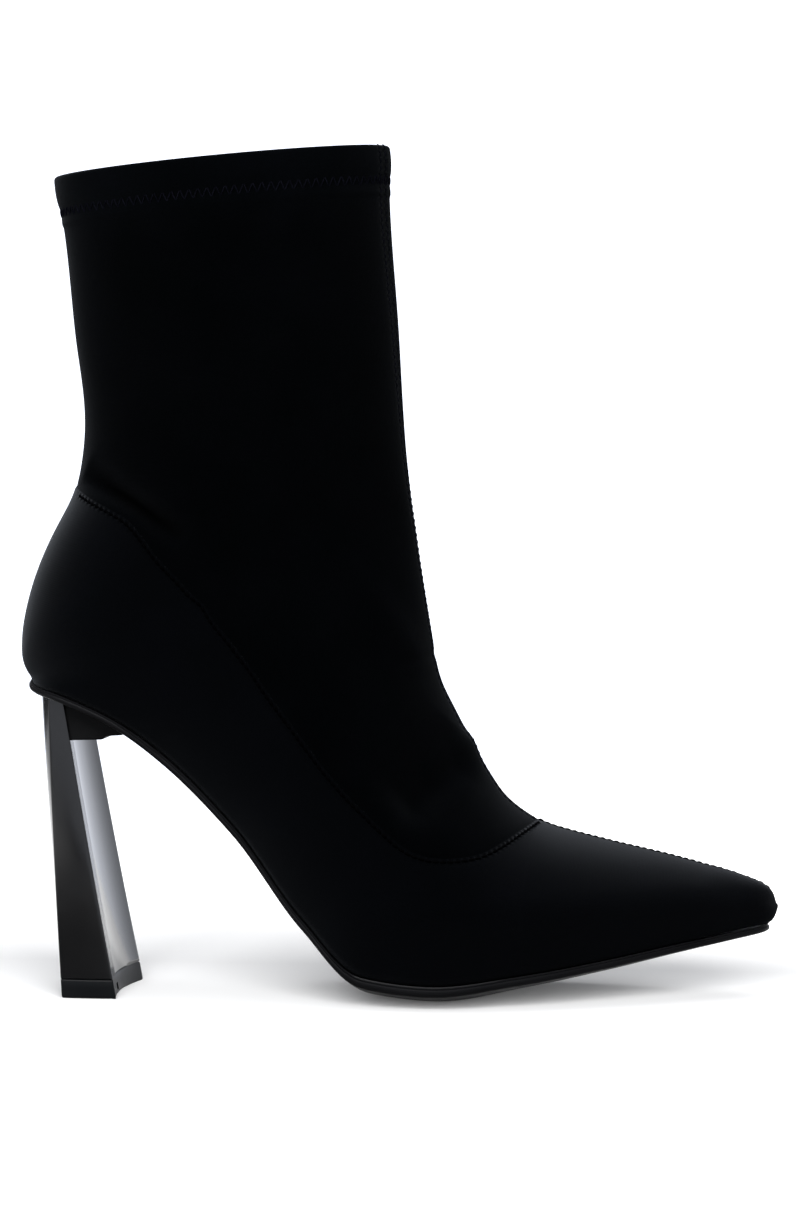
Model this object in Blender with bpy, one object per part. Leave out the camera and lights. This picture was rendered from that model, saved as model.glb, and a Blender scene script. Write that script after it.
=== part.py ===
"""Pointed ankle boot with a stretch shaft and a high flared heel, the right boot of a pair.

Metres, +X to the toe, +Y to the inner side of the foot, +Z up, and the floor at z = 0.
All sizes below are in millimetres and are turned into metres when a mesh is made.
"""

from collections import namedtuple

import bmesh
import bpy
import numpy as np

MM = 0.001

# Driving dimensions
LENGTH = 228.2
BALL_WIDTH = 77.0
SEAT_HEIGHT = 94.9
COLLAR_FRONT = 254.9
COLLAR_BACK = 245.9
WALL = 2.0
CLEARANCE = 0.3

TOE_X = LENGTH / 2
HEEL_X = -LENGTH / 2
BALL_HALF = BALL_WIDTH / 2

# Cross sections of the last, fanned from the toe round the instep and up to the collar.
# Each lies in a plane that holds the sideways axis and joins a low point, under the foot or at its
# back, to a top point, on the ridge, the instep or the front of the shaft.
# swing: sideways shift to the inner side      half: widest half width, as a share of BALL_HALF
# foot: half width where the sole begins, as a share of BALL_HALF, 0 where the section is closed
# wide_at: height of the widest point, as a share of the section
# ridge: 1 is a round top, more is a peaked one
# seam: where the seam between upper and shaft crosses, as a share of the section
Section = namedtuple("Section", "low_x low_z top_x top_z swing half foot wide_at ridge seam")
SECTIONS = (
    Section(TOE_X - 2.9, 22.2, TOE_X, 27.2, 12.0, 0.000, 0.000, 0.45, 1.00, 1.000),   # toe tip
    Section(109.6, 21.9, 112.0, 32.0, 11.8, 0.125, 0.110, 0.42, 1.15, 1.000),         # nose
    Section(103.0, 20.9, 103.5, 36.1, 11.0, 0.250, 0.232, 0.40, 1.30, 1.000),         # toe
    Section(86.0, 18.1, 85.0, 41.8, 8.8, 0.470, 0.440, 0.37, 1.35, 1.000),            # toe box
    Section(64.0, 14.2, 63.0, 47.2, 5.5, 0.715, 0.675, 0.35, 1.35, 1.000),            # vamp
    Section(40.0, 10.5, 42.8, 53.3, 2.5, 0.910, 0.855, 0.34, 1.30, 1.000),            # vamp point
    Section(16.0, 7.8, 32.5, 62.3, 0.5, 1.000, 0.935, 0.34, 1.20, 0.695),             # ball
    Section(-5.0, 9.8, 25.5, 72.5, 0.0, 0.985, 0.880, 0.36, 1.10, 0.575),             # behind the ball
    Section(-24.0, 25.7, 19.0, 84.7, 0.0, 0.910, 0.710, 0.40, 1.05, 0.515),           # waist
    Section(-46.0, 53.4, 13.2, 97.3, 0.0, 0.835, 0.580, 0.42, 1.00, 0.462),           # arch
    Section(-66.0, 73.2, 11.0, 110.0, 0.0, 0.795, 0.580, 0.40, 1.00, 0.452),          # seat front
    Section(-82.0, 84.6, 8.9, 123.0, 0.0, 0.780, 0.635, 0.36, 1.00, 0.459),           # seat
    Section(-98.0, 91.2, 7.3, 133.5, 0.0, 0.770, 0.570, 0.335, 1.00, 0.478),          # seat behind
    Section(HEEL_X + 3.6, SEAT_HEIGHT, 6.3, 141.0, 0.0, 0.762, 0.000, 0.315, 1.00, 0.491),  # seat end
    Section(HEEL_X, 104.0, 5.6, 145.5, 0.0, 0.758, 0.000, 0.33, 1.00, 0.464),         # heel bulge
    Section(-110.9, 121.3, 4.9, 150.5, 0.0, 0.755, 0.000, 0.365, 1.00, 0.382),        # counter
    Section(-104.2, 138.0, 4.1, 157.0, 0.0, 0.755, 0.000, 0.40, 1.00, 0.262),         # counter top
    Section(-96.3, 153.2, 3.3, 164.5, 0.0, 0.755, 0.000, 0.44, 1.00, 0.000),          # seam at the back
    Section(-94.0, 172.0, 2.4, 177.0, 0.0, 0.765, 0.000, 0.47, 1.00, 0.000),          # ankle
    Section(-97.0, 198.6, 1.1, 200.0, 0.0, 0.785, 0.000, 0.49, 1.00, 0.000),          # shaft
    Section(-100.0, 228.4, -1.6, 238.0, 0.0, 0.825, 0.000, 0.50, 1.00, 0.000),        # foot of the hem
    Section(-103.0, COLLAR_BACK, -2.0, COLLAR_FRONT, 0.0, 0.845, 0.000, 0.50, 1.00, 0.000),   # collar
)
VAMP_POINT = 5
SEAT_END = 13
SEAM_BACK = 17
COLLAR = len(SECTIONS) - 1

# Shells
SHAFT_WALL = 1.8
SEAM_STEP = 0.3            # the upper stands out this far over the shaft
SEAM_GAP = 0.2             # half of the parting between upper and shaft, along a section
HEM_STEP = 0.5             # the doubled hem stands out this far
HEM_START = 20             # section at which the hem starts
TOE_FILL = 1.2             # section at which the hollow of the toe starts
TOE_BLEND = 3.0            # section from which wall and hollow run level
TOE_PINCH = 0.8            # sections over which the hollow of the toe narrows to its edge
THINNEST = 0.3             # share of a half width that the hollow keeps where the toe gets narrow
WIDEST_FOOT = 0.97         # the foot of a section is at most this share of its half width

# Sole, with a row for each section that its sizes change at
SoleRow = namedtuple("SoleRow", "section thick crown")
SOLE_ROWS = (
    SoleRow(0, 2.1, 0.0),
    SoleRow(3, 2.4, 1.6),
    SoleRow(5, 2.8, 4.2),
    SoleRow(6, 3.2, 5.4),
    SoleRow(7, 3.2, 5.6),
    SoleRow(8, 3.0, 2.6),
    SoleRow(9, 3.0, 0.8),
    SoleRow(10, 2.9, 0.0),
    SoleRow(11, 2.4, 0.0),
    SoleRow(SEAT_END, 2.0, 0.0),
)
CROWN_AT = 0.2             # lowest line of the tread, as a share of the half width to the inner side
SOLE_MARGIN = 0.8          # the sole stands out past the upper
SOLE_STEP = 0.5            # its upper layer is set back
SOLE_STEP_AT = 0.62        # height of that step, as a share of the thickness
SOLE_BEVEL = 0.7           # its under edge is drawn in
ROUND_END = 0.75           # an edge that faces less sideways than this belongs to a rounded end

# Insole
INSOLE_THICK = 2.4
INSOLE_GAP = 0.5           # over the sole
INSOLE_INSET = 4.0         # from the edge of the upper
INSOLE_START = 1.4
INSOLE_ROUND = 0.8         # sections over which its toe end is rounded

# Heel and its top piece
HEEL_WIDE_TOP = 36.0
HEEL_WIDE_FLOOR = 42.0
HEEL_BACK_TOP = -102.1     # back corner of the flat side, at the seat
HEEL_BACK_FLOOR = -97.8
HEEL_BACK_EASE = 1.35      # how the back line steepens upwards
HEEL_FRONT_FLOOR = -81.2
HEEL_FRONT_LEAN = 0.1757   # the breast goes back this much per mm of height
HEEL_BULGE_TOP = 5.4       # rounding of the back
HEEL_BULGE_FLOOR = 2.3
BREAST_HOLLOW = 1.2
TIP_HEIGHT = 5.6
LIP_UNDER = 77.4           # flat underside of the wedge that meets the sole
LIP_CORNER_X = -87.0
LIP_CHAMFER = 1.2
LIP_NOSE_X = -81.0
LIP_NOSE_DEEP = 1.4


def slopes(at, value):
    """Slopes of a smooth curve through the given values that never overshoots them."""
    step = np.diff(at)
    secant = np.diff(value) / step
    result = np.zeros(len(at))
    for i in range(1, len(at) - 1):
        if secant[i - 1] * secant[i] > 0:
            before = 2 * step[i] + step[i - 1]
            after = step[i] + 2 * step[i - 1]
            result[i] = (before + after) / (before / secant[i - 1] + after / secant[i])
    result[0] = secant[0]
    result[-1] = secant[-1]
    return result


def smooth(at, value, where):
    """Value of that smooth curve at each place in where."""
    at = np.asarray(at, float)
    value = np.asarray(value, float)
    slope = slopes(at, value)
    where = np.clip(where, at[0], at[-1])
    i = np.clip(np.searchsorted(at, where, side="right") - 1, 0, len(at) - 2)
    step = at[i + 1] - at[i]
    s = (where - at[i]) / step
    start = (1 + 2 * s) * (1 - s) ** 2 * value[i] + s * (1 - s) ** 2 * step * slope[i]
    end = s * s * (3 - 2 * s) * value[i + 1] + s * s * (s - 1) * step * slope[i + 1]
    return start + end


def column(name):
    return np.array([getattr(row, name) for row in SECTIONS])


def section_spacing():
    """Distance from the toe to each section, halfway between its low and its top line."""
    low = np.hypot(np.diff(column("low_x")), np.diff(column("low_z")))
    top = np.hypot(np.diff(column("top_x")), np.diff(column("top_z")))
    return np.concatenate([[0.0], np.cumsum((low + top) / 2)])


SPACING = section_spacing()


def along(section):
    return np.interp(section, np.arange(len(SECTIONS)), SPACING)


def profile(name, section):
    """A column of the section table, between its rows."""
    return smooth(SPACING, column(name), along(section))


def half_width(section):
    """Widest half width: its square runs smoothly, so that the toe ends round."""
    return BALL_HALF * np.sqrt(smooth(SPACING, column("half") ** 2, along(section)))


def foot_width(section):
    """Half width where the sole begins, which ends round at the toe and at the back of the seat."""
    rows = slice(0, SEAT_END + 1)
    square = smooth(SPACING[rows], column("foot")[rows] ** 2, along(section))
    return np.where(section >= SEAT_END, 0.0, BALL_HALF * np.sqrt(np.maximum(square, 0.0)))


def foot_angle(half, foot):
    """Angle at which the oval of a section is cut off by the sole, a right angle where it is closed."""
    return np.arccos(np.clip(foot / np.maximum(half, 1e-9), 0, WIDEST_FOOT))


def boot_points(section, turn, side, inset):
    """Points of the boot's surface, or of one lying inset under it, over it where inset is negative.

    section and turn are arrays of one shape, side is -1 on the outer side and 1 on the inner side.
    """
    low = np.stack([profile("low_x", section), profile("low_z", section)], axis=-1)
    top = np.stack([profile("top_x", section), profile("top_z", section)], axis=-1)
    wide_at = profile("wide_at", section)
    span = top - low
    height = np.linalg.norm(span, axis=-1)
    trim_top = np.minimum(inset, height / 4) / height
    trim_low = np.maximum(trim_top, 0)
    half = half_width(section)
    half = half - np.clip(inset, -half, (1 - THINNEST) * half)
    foot = foot_width(section)
    foot = np.maximum(foot - np.maximum(inset, 0), THINNEST * foot)

    lower = turn < 0.5
    cut = foot_angle(half, foot)
    below = cut * np.clip(1 - 2 * turn, 0, 1)
    above = np.pi * np.clip(turn - 0.5, 0, 0.5)
    peak = np.where(turn >= 1, 0.0, np.clip(np.cos(above), 0, 1)) ** profile("ridge", section)
    sideways = half * np.where(lower, np.cos(below), peak)
    sideways = np.where(turn <= 0, foot, sideways)
    share_low = wide_at * (1 - np.sin(below) / np.sin(cut))
    share_top = wide_at + (1 - wide_at) * np.sin(above)
    share = np.where(lower, share_low, share_top)
    share = trim_low + share * (1 - trim_low - trim_top)
    place = low + span * share[..., None]
    across = profile("swing", section) + side * sideways
    return np.stack([place[..., 0], across, place[..., 1]], axis=-1)


def hollow_points(section, turn, side, inset):
    """Inside of the wall: as the surface, with the toe filled and drawn to an upright edge."""
    blend = np.clip(section / TOE_BLEND, 0, 1)
    inner = np.where(section < TOE_BLEND, TOE_FILL + (TOE_BLEND - TOE_FILL) * blend, section)
    points = boot_points(inner, turn, side, inset)
    middle = profile("swing", inner)
    pinch = np.sqrt(np.clip(section / TOE_PINCH, 0, 1))
    points[..., 1] = middle + (points[..., 1] - middle) * pinch
    return points


def seam_turn(section, shift):
    """Turn at which the seam crosses a section, moved by shift mm along it."""
    rows = slice(VAMP_POINT, SEAM_BACK + 1)
    span_x = profile("top_x", section) - profile("low_x", section)
    span_z = profile("top_z", section) - profile("low_z", section)
    share = smooth(SPACING[rows], column("seam")[rows], along(section))
    share = np.clip(share + shift / np.hypot(span_x, span_z), 0, 1)
    wide_at = profile("wide_at", section)
    cut = foot_angle(half_width(section), foot_width(section))
    below = np.arcsin(np.clip((1 - share / wide_at) * np.sin(cut), 0, 1)) / cut
    above = np.arcsin(np.clip((share - wide_at) / (1 - wide_at), 0, 1)) / np.pi
    return np.where(share < wide_at, 0.5 - below / 2, 0.5 + above)


def make_material(name, colour, roughness, metallic=0.0):
    material = bpy.data.materials.new(name)
    material.use_nodes = True
    shader = material.node_tree.nodes["Principled BSDF"]
    shader.inputs["Base Color"].default_value = (*colour, 1.0)
    shader.inputs["Roughness"].default_value = roughness
    shader.inputs["Metallic"].default_value = metallic
    return material


def add_object(name, points, faces, material):
    """Mesh object from points in mm, with its faces turned outwards."""
    mesh = bpy.data.meshes.new(name)
    mesh.from_pydata([tuple(float(c) * MM for c in p) for p in points], [], faces)
    work = bmesh.new()
    work.from_mesh(mesh)
    if work.calc_volume(signed=True) < 0:
        bmesh.ops.reverse_faces(work, faces=work.faces)
    work.to_mesh(mesh)
    work.free()
    mesh.shade_smooth()
    mesh.set_sharp_from_angle(angle=np.radians(35))
    mesh.materials.append(material)
    piece = bpy.data.objects.new(name, mesh)
    bpy.context.scene.collection.objects.link(piece)
    return piece


def layered_solid(name, sheets, material):
    """Closed solid between the first and the last layer of each sheet of points.

    Sheets that share points on their first layer are joined there. Where the joined sheets have an
    edge, a wall runs through every layer of it in turn.
    """
    number = {}
    layers = [[] for _ in sheets[0][0]]
    faces = []
    for sheet, flip in sheets:
        rows, columns = sheet[0].shape[:2]
        grid = np.zeros((rows, columns), int)
        for r in range(rows):
            for c in range(columns):
                key = tuple(np.round(sheet[0][r, c], 3))
                if key not in number:
                    number[key] = len(number)
                    for store, layer in zip(layers, sheet):
                        store.append(layer[r, c])
                grid[r, c] = number[key]
        for r in range(rows - 1):
            for c in range(columns - 1):
                ring = [grid[r, c], grid[r, c + 1], grid[r + 1, c + 1], grid[r + 1, c]]
                ring = [int(p) for i, p in enumerate(ring) if p != ring[i - 1]]
                if len(set(ring)) > 2:
                    faces.append(ring[::-1] if flip else ring)

    count = len(number)
    directed = {(a, b) for ring in faces for a, b in zip(ring, ring[1:] + ring[:1])}
    edges = [(a, b) for a, b in directed if (b, a) not in directed]
    points = layers[0] + layers[-1]
    rim = {}
    for a in sorted({p for edge in edges for p in edge}):
        rim[a] = [a] + [len(points) + i for i in range(len(layers) - 2)] + [a + count]
        points += [layer[a] for layer in layers[1:-1]]
    solid = faces + [[p + count for p in reversed(ring)] for ring in faces]
    for a, b in edges:
        for i in range(len(layers) - 1):
            solid.append([rim[b][i], rim[a][i], rim[a][i + 1], rim[b][i + 1]])
    return add_object(name, points, solid, material)


def sliced_solid(name, slices, material):
    """Closed solid through outlines of equal point count, set side by side."""
    count = len(slices[0])
    points = [point for outline in slices for point in outline]
    faces = [list(range(count)), list(range(len(points) - 1, len(points) - count - 1, -1))]
    for s in range(len(slices) - 1):
        here = s * count
        there = here + count
        for i in range(count):
            j = (i + 1) % count
            faces.append([here + j, here + i, there + i, there + j])
    return add_object(name, points, faces, material)


def spaced(*stretches):
    """Section numbers from stretches of (start, end, steps), each point once."""
    parts = [np.linspace(start, end, steps + 1) for start, end, steps in stretches]
    return np.unique(np.round(np.concatenate(parts), 4))


UPPER_COLUMNS = 9
SHAFT_COLUMNS = 11
SEAM_END_ROWS = np.array([0.03, 0.08, 0.15, 0.27, 0.5, 0.75])
SEAM_ROWS = np.unique(np.concatenate([
    VAMP_POINT + SEAM_END_ROWS,
    spaced((VAMP_POINT + 1, SEAT_END - 1, 12)),
    SEAT_END - np.array([0.65, 0.38, 0.18, 0.06]),
    spaced((SEAT_END, SEAM_BACK - 1, 6)),
    SEAM_BACK - SEAM_END_ROWS,
]))


def make_upper(material):
    """Vamp and counter: a hollow wall, open under the foot and along the seam to the shaft."""
    rows = np.concatenate([[0.0, 0.05, 0.2, 0.5], spaced((1, VAMP_POINT, 8)), SEAM_ROWS, [SEAM_BACK]])
    end = np.where(rows > VAMP_POINT, seam_turn(rows, -SEAM_GAP), 1.0)
    section, share = np.meshgrid(rows, np.linspace(0, 1, UPPER_COLUMNS + 1), indexing="ij")
    turn = share * end[:, None]
    sheets = []
    for side in (-1, 1):
        layers = [boot_points(section, turn, side, -SEAM_STEP), hollow_points(section, turn, side, WALL)]
        sheets.append((layers, side > 0))
    return layered_solid("upper", sheets, material)


def make_shaft(material):
    """Stretch tube from the seam to the collar, with a doubled hem that stands out a little."""
    closed = SEAM_BACK + 0.04
    edge = 0.01
    rows = np.concatenate([SEAM_ROWS, [SEAM_BACK], spaced((closed, HEM_START - edge, 8)),
                           spaced((HEM_START + edge, COLLAR, 3))])
    start = np.where(rows > SEAM_BACK, 0.0, seam_turn(rows, SEAM_GAP))
    start[0] = 1.0
    section, share = np.meshgrid(rows, np.linspace(0, 1, SHAFT_COLUMNS + 1), indexing="ij")
    turn = start[:, None] + share * (1 - start[:, None])
    outer = np.where(section > HEM_START, -HEM_STEP, 0.0)
    inner = np.full(section.shape, SHAFT_WALL)
    sheets = []
    for side in (-1, 1):
        layers = [boot_points(section, turn, side, inset) for inset in (outer, inner)]
        sheets.append((layers, side > 0))
    return layered_solid("shaft", sheets, material)


def sole_edge(section, side, margin):
    """Plan points of the sole's edge: the foot of the upper, moved outwards by margin."""
    x = profile("low_x", section)
    y = profile("swing", section) + side * foot_width(section)
    ahead = np.gradient(x, edge_order=1)
    outward = np.gradient(y, edge_order=1)
    size = np.maximum(np.hypot(ahead, outward), 1e-9)
    normal_x = side * outward / size
    normal_y = -side * ahead / size
    for end, way in ((0, 1.0), (-1, -1.0)):
        if foot_width(section)[end] < 1e-6:
            normal_x[end] = way
            normal_y[end] = 0.0
    sideways = np.abs(normal_y) > ROUND_END
    shift_x = np.where(sideways, 0.0, margin * normal_x)
    shift_y = margin * np.where(sideways, 1 / np.where(sideways, normal_y, 1.0), normal_y)
    return x + shift_x, y + shift_y


def across_grid(section, margin, columns, narrow=1.0):
    """Plan points in rows across the foot, and each one's place from -1 to 1."""
    outer_x, outer_y = sole_edge(section, -1, margin)
    inner_x, inner_y = sole_edge(section, 1, margin)
    place = np.linspace(-1, 1, columns + 1)[None, :] * np.ones_like(section)[:, None]
    middle_x = (outer_x + inner_x) / 2
    middle_y = (outer_y + inner_y) / 2
    reach_x = (inner_x - outer_x) / 2 * narrow
    reach_y = (inner_y - outer_y) / 2 * narrow
    x = middle_x[:, None] + place * reach_x[:, None]
    y = middle_y[:, None] + place * reach_y[:, None]
    return x, y, place


def sole_size(name, section):
    return smooth(along([row.section for row in SOLE_ROWS]), [getattr(row, name) for row in SOLE_ROWS],
                  along(section))


def sole_under(section, place):
    """Height of the sole's underside: crowned across and flat where it meets the floor."""
    edge = profile("low_z", section) - CLEARANCE - sole_size("thick", section)
    crown = sole_size("crown", section)
    lean = (place - CROWN_AT) / (1 - CROWN_AT * np.sign(place - CROWN_AT))
    return np.maximum(edge[:, None] - crown[:, None] * (1 - lean ** 2), 0.0)


SOLE_SECTIONS = np.unique(np.concatenate([
    [0.0, 0.2, 0.5, 1.0, 1.5],
    spaced((2, 5, 6), (5, 8, 9), (8, 12, 12)),
    SEAT_END - np.array([0.65, 0.38, 0.18, 0.06, 0.0]),
]))
SOLE_COLUMNS = 10


def make_outsole(material):
    """Thin sole from toe to seat, with a step in its side and a flat tread under the ball."""
    thick = sole_size("thick", SOLE_SECTIONS)[:, None]
    layers = []
    for margin, share in ((SOLE_MARGIN - SOLE_BEVEL, 0.0), (SOLE_MARGIN, SOLE_STEP_AT),
                          (SOLE_MARGIN - SOLE_STEP, SOLE_STEP_AT), (SOLE_MARGIN - SOLE_STEP, 1.0)):
        x, y, place = across_grid(SOLE_SECTIONS, margin, SOLE_COLUMNS)
        layers.append(np.stack([x, y, sole_under(SOLE_SECTIONS, place) + share * thick], axis=-1))
    return layered_solid("outsole", [(layers, True)], material)


def make_insole(material):
    """Sock of the foot bed, lying on the sole inside the wall of the upper."""
    rows = SOLE_SECTIONS[SOLE_SECTIONS > INSOLE_START]
    narrow = np.sqrt(np.clip((rows - INSOLE_START) / INSOLE_ROUND, 0, 1))
    x, y, place = across_grid(rows, -INSOLE_INSET, SOLE_COLUMNS, narrow)
    foot = foot_width(rows)
    place = place * (narrow * np.maximum(foot - INSOLE_INSET, 0) / (foot + SOLE_MARGIN))[:, None]
    under = sole_under(rows, place) + sole_size("thick", rows)[:, None] + INSOLE_GAP
    layers = [np.stack([x, y, under + rise], axis=-1) for rise in (0.0, INSOLE_THICK)]
    return layered_solid("insole", [(layers, True)], material)


def seat_under(x):
    """Height of the sole's underside along the seat, at a place along the boot."""
    section = np.linspace(8, SEAT_END, 200)
    return np.interp(-x, -profile("low_x", section), sole_under(section, np.ones((200, 1)))[:, 0])


def heel_back(z, across):
    rise = np.clip(z / SEAT_HEIGHT, 0, 1)
    corner = HEEL_BACK_FLOOR + (HEEL_BACK_TOP - HEEL_BACK_FLOOR) * (1 - (1 - rise) ** HEEL_BACK_EASE)
    bulge = HEEL_BULGE_FLOOR + (HEEL_BULGE_TOP - HEEL_BULGE_FLOOR) * rise
    return corner - bulge * (1 - across ** 2)


def heel_breast(z, across):
    return HEEL_FRONT_FLOOR - HEEL_FRONT_LEAN * z - BREAST_HOLLOW * (1 - across ** 2)


def heel_half(z):
    return (HEEL_WIDE_FLOOR + (HEEL_WIDE_TOP - HEEL_WIDE_FLOOR) * z / SEAT_HEIGHT) / 2


HEEL_SLICES = np.linspace(-1, 1, 15)


def make_heel(material):
    """Slim column with a rounded back, flat sides and a hollow breast, and the wedge in front."""
    slices = []
    for across in HEEL_SLICES:
        rise = np.linspace(TIP_HEIGHT + CLEARANCE, LIP_UNDER, 8)
        back = [(heel_back(z, across), z) for z in rise]
        back_x = heel_back(SEAT_HEIGHT, across)
        top = [(x, seat_under(x) - CLEARANCE) for x in np.linspace(back_x, LIP_NOSE_X, 7)]
        nose_z = top[-1][1] - LIP_NOSE_DEEP
        lip = [(LIP_NOSE_X, nose_z), (LIP_CORNER_X + LIP_CHAMFER, LIP_UNDER + LIP_CHAMFER / 2),
               (LIP_CORNER_X, LIP_UNDER)]
        breast = [(heel_breast(z, across), z) for z in rise[::-1]]
        slices.append([(x, across * heel_half(z), z) for x, z in back + top + lip + breast])
    return sliced_solid("heel", slices, material)


def make_heel_tip(material):
    """Top piece under the heel, flat on the floor."""
    slices = []
    for across in HEEL_SLICES:
        heights = (0.0, TIP_HEIGHT)
        back = [(heel_back(z, across), z) for z in heights]
        breast = [(heel_breast(z, across), z) for z in heights[::-1]]
        slices.append([(x, across * heel_half(z), z) for x, z in back + breast])
    return sliced_solid("heel_tip", slices, material)


def main():
    for thing in list(bpy.data.objects):
        bpy.data.objects.remove(thing, do_unlink=True)
    make_upper(make_material("neoprene_upper", (0.006, 0.007, 0.008), 0.85))
    make_shaft(make_material("neoprene_shaft", (0.005, 0.006, 0.007), 0.88))
    make_outsole(make_material("sole_rubber", (0.012, 0.012, 0.013), 0.5))
    make_insole(make_material("insole_cloth", (0.02, 0.02, 0.021), 0.8))
    make_heel(make_material("heel_gloss", (0.01, 0.01, 0.011), 0.12))
    make_heel_tip(make_material("tip_rubber", (0.012, 0.012, 0.014), 0.4))


main()
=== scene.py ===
"""Black pointed ankle boot with a stretch shaft and a high flared heel, dressed over its solids.

Tables and functions are in millimetres and meshes in metres: +X to the toe, +Y to the inner side, +Z up.
"""

from collections import namedtuple

import bmesh
import bpy
import numpy as np
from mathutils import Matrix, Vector
from mathutils.kdtree import KDTree

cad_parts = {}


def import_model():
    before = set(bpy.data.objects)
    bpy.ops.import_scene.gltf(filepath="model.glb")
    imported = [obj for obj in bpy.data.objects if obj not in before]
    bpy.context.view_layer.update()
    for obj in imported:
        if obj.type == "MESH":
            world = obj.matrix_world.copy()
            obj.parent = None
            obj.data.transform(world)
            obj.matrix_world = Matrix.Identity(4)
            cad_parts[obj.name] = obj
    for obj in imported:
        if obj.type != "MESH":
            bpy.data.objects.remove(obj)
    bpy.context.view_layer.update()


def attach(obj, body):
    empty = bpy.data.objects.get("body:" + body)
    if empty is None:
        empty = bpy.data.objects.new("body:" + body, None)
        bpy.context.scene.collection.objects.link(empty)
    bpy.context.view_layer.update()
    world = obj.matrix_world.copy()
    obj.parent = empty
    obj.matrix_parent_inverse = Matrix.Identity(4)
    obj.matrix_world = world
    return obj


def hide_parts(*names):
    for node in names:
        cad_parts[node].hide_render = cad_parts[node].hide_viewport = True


MM = 0.001
SIDES = (-1, 1)            # outer side, inner side
TINY = 1e-9

# The last, as in the solids
LENGTH = 228.2
BALL_HALF = 38.5
SEAT_HEIGHT = 94.9
COLLAR_FRONT = 254.9
COLLAR_BACK = 245.9
CLEARANCE = 0.3
WALL = 2.0
TOE_X = LENGTH / 2
HEEL_X = -LENGTH / 2

Section = namedtuple("Section", "low_x low_z top_x top_z swing half foot wide_at ridge seam")
SECTIONS = (
    Section(TOE_X - 2.9, 22.2, TOE_X, 27.2, 12.0, 0.000, 0.000, 0.45, 1.00, 1.000),   # toe tip
    Section(109.6, 21.9, 112.0, 32.0, 11.8, 0.125, 0.110, 0.42, 1.15, 1.000),         # nose
    Section(103.0, 20.9, 103.5, 36.1, 11.0, 0.250, 0.232, 0.40, 1.30, 1.000),         # toe
    Section(86.0, 18.1, 85.0, 41.8, 8.8, 0.470, 0.440, 0.37, 1.35, 1.000),            # toe box
    Section(64.0, 14.2, 63.0, 47.2, 5.5, 0.715, 0.675, 0.35, 1.35, 1.000),            # vamp
    Section(40.0, 10.5, 42.8, 53.3, 2.5, 0.910, 0.855, 0.34, 1.30, 1.000),            # vamp point
    Section(16.0, 7.8, 32.5, 62.3, 0.5, 1.000, 0.935, 0.34, 1.20, 0.695),             # ball
    Section(-5.0, 9.8, 25.5, 72.5, 0.0, 0.985, 0.880, 0.36, 1.10, 0.575),             # behind the ball
    Section(-24.0, 25.7, 19.0, 84.7, 0.0, 0.910, 0.710, 0.40, 1.05, 0.515),           # waist
    Section(-46.0, 53.4, 13.2, 97.3, 0.0, 0.835, 0.580, 0.42, 1.00, 0.462),           # arch
    Section(-66.0, 73.2, 11.0, 110.0, 0.0, 0.795, 0.580, 0.40, 1.00, 0.452),          # seat front
    Section(-82.0, 84.6, 8.9, 123.0, 0.0, 0.780, 0.635, 0.36, 1.00, 0.459),           # seat
    Section(-98.0, 91.2, 7.3, 133.5, 0.0, 0.770, 0.570, 0.335, 1.00, 0.478),          # seat behind
    Section(HEEL_X + 3.6, SEAT_HEIGHT, 6.3, 141.0, 0.0, 0.762, 0.000, 0.315, 1.00, 0.491),  # seat end
    Section(HEEL_X, 104.0, 5.6, 145.5, 0.0, 0.758, 0.000, 0.33, 1.00, 0.464),         # heel bulge
    Section(-110.9, 121.3, 4.9, 150.5, 0.0, 0.755, 0.000, 0.365, 1.00, 0.382),        # counter
    Section(-104.2, 138.0, 4.1, 157.0, 0.0, 0.755, 0.000, 0.40, 1.00, 0.262),         # counter top
    Section(-96.3, 153.2, 3.3, 164.5, 0.0, 0.755, 0.000, 0.44, 1.00, 0.000),          # seam at the back
    Section(-94.0, 172.0, 2.4, 177.0, 0.0, 0.765, 0.000, 0.47, 1.00, 0.000),          # ankle
    Section(-97.0, 198.6, 1.1, 200.0, 0.0, 0.785, 0.000, 0.49, 1.00, 0.000),          # shaft
    Section(-100.0, 228.4, -1.6, 238.0, 0.0, 0.825, 0.000, 0.50, 1.00, 0.000),        # foot of the hem
    Section(-103.0, COLLAR_BACK, -2.0, COLLAR_FRONT, 0.0, 0.845, 0.000, 0.50, 1.00, 0.000),   # collar
)
VAMP_POINT = 5
SEAT_END = 13
SEAM_BACK = 17
HEM_FOOT = 20
COLLAR = len(SECTIONS) - 1

TOE_FILL = 1.2
TOE_BLEND = 3.0
TOE_PINCH = 0.8
THINNEST = 0.3
WIDEST_FOOT = 0.97

SoleRow = namedtuple("SoleRow", "section thick crown")
SOLE_ROWS = (
    SoleRow(0, 2.1, 0.0),
    SoleRow(3, 2.4, 1.6),
    SoleRow(5, 2.8, 4.2),
    SoleRow(6, 3.2, 5.4),
    SoleRow(7, 3.2, 5.6),
    SoleRow(8, 3.0, 2.6),
    SoleRow(9, 3.0, 0.8),
    SoleRow(10, 2.9, 0.0),
    SoleRow(11, 2.4, 0.0),
    SoleRow(SEAT_END, 2.0, 0.0),
)
CROWN_AT = 0.2
SOLE_MARGIN = 0.8
ROUND_END = (0.6, 0.85)    # between these slopes the edge turns from the round ends to the sides
STEEPEST = 0.3

INSOLE_INSET = 4.0
INSOLE_START = 1.4
INSOLE_ROUND = 0.8
INSOLE_GAP = 0.5

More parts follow.
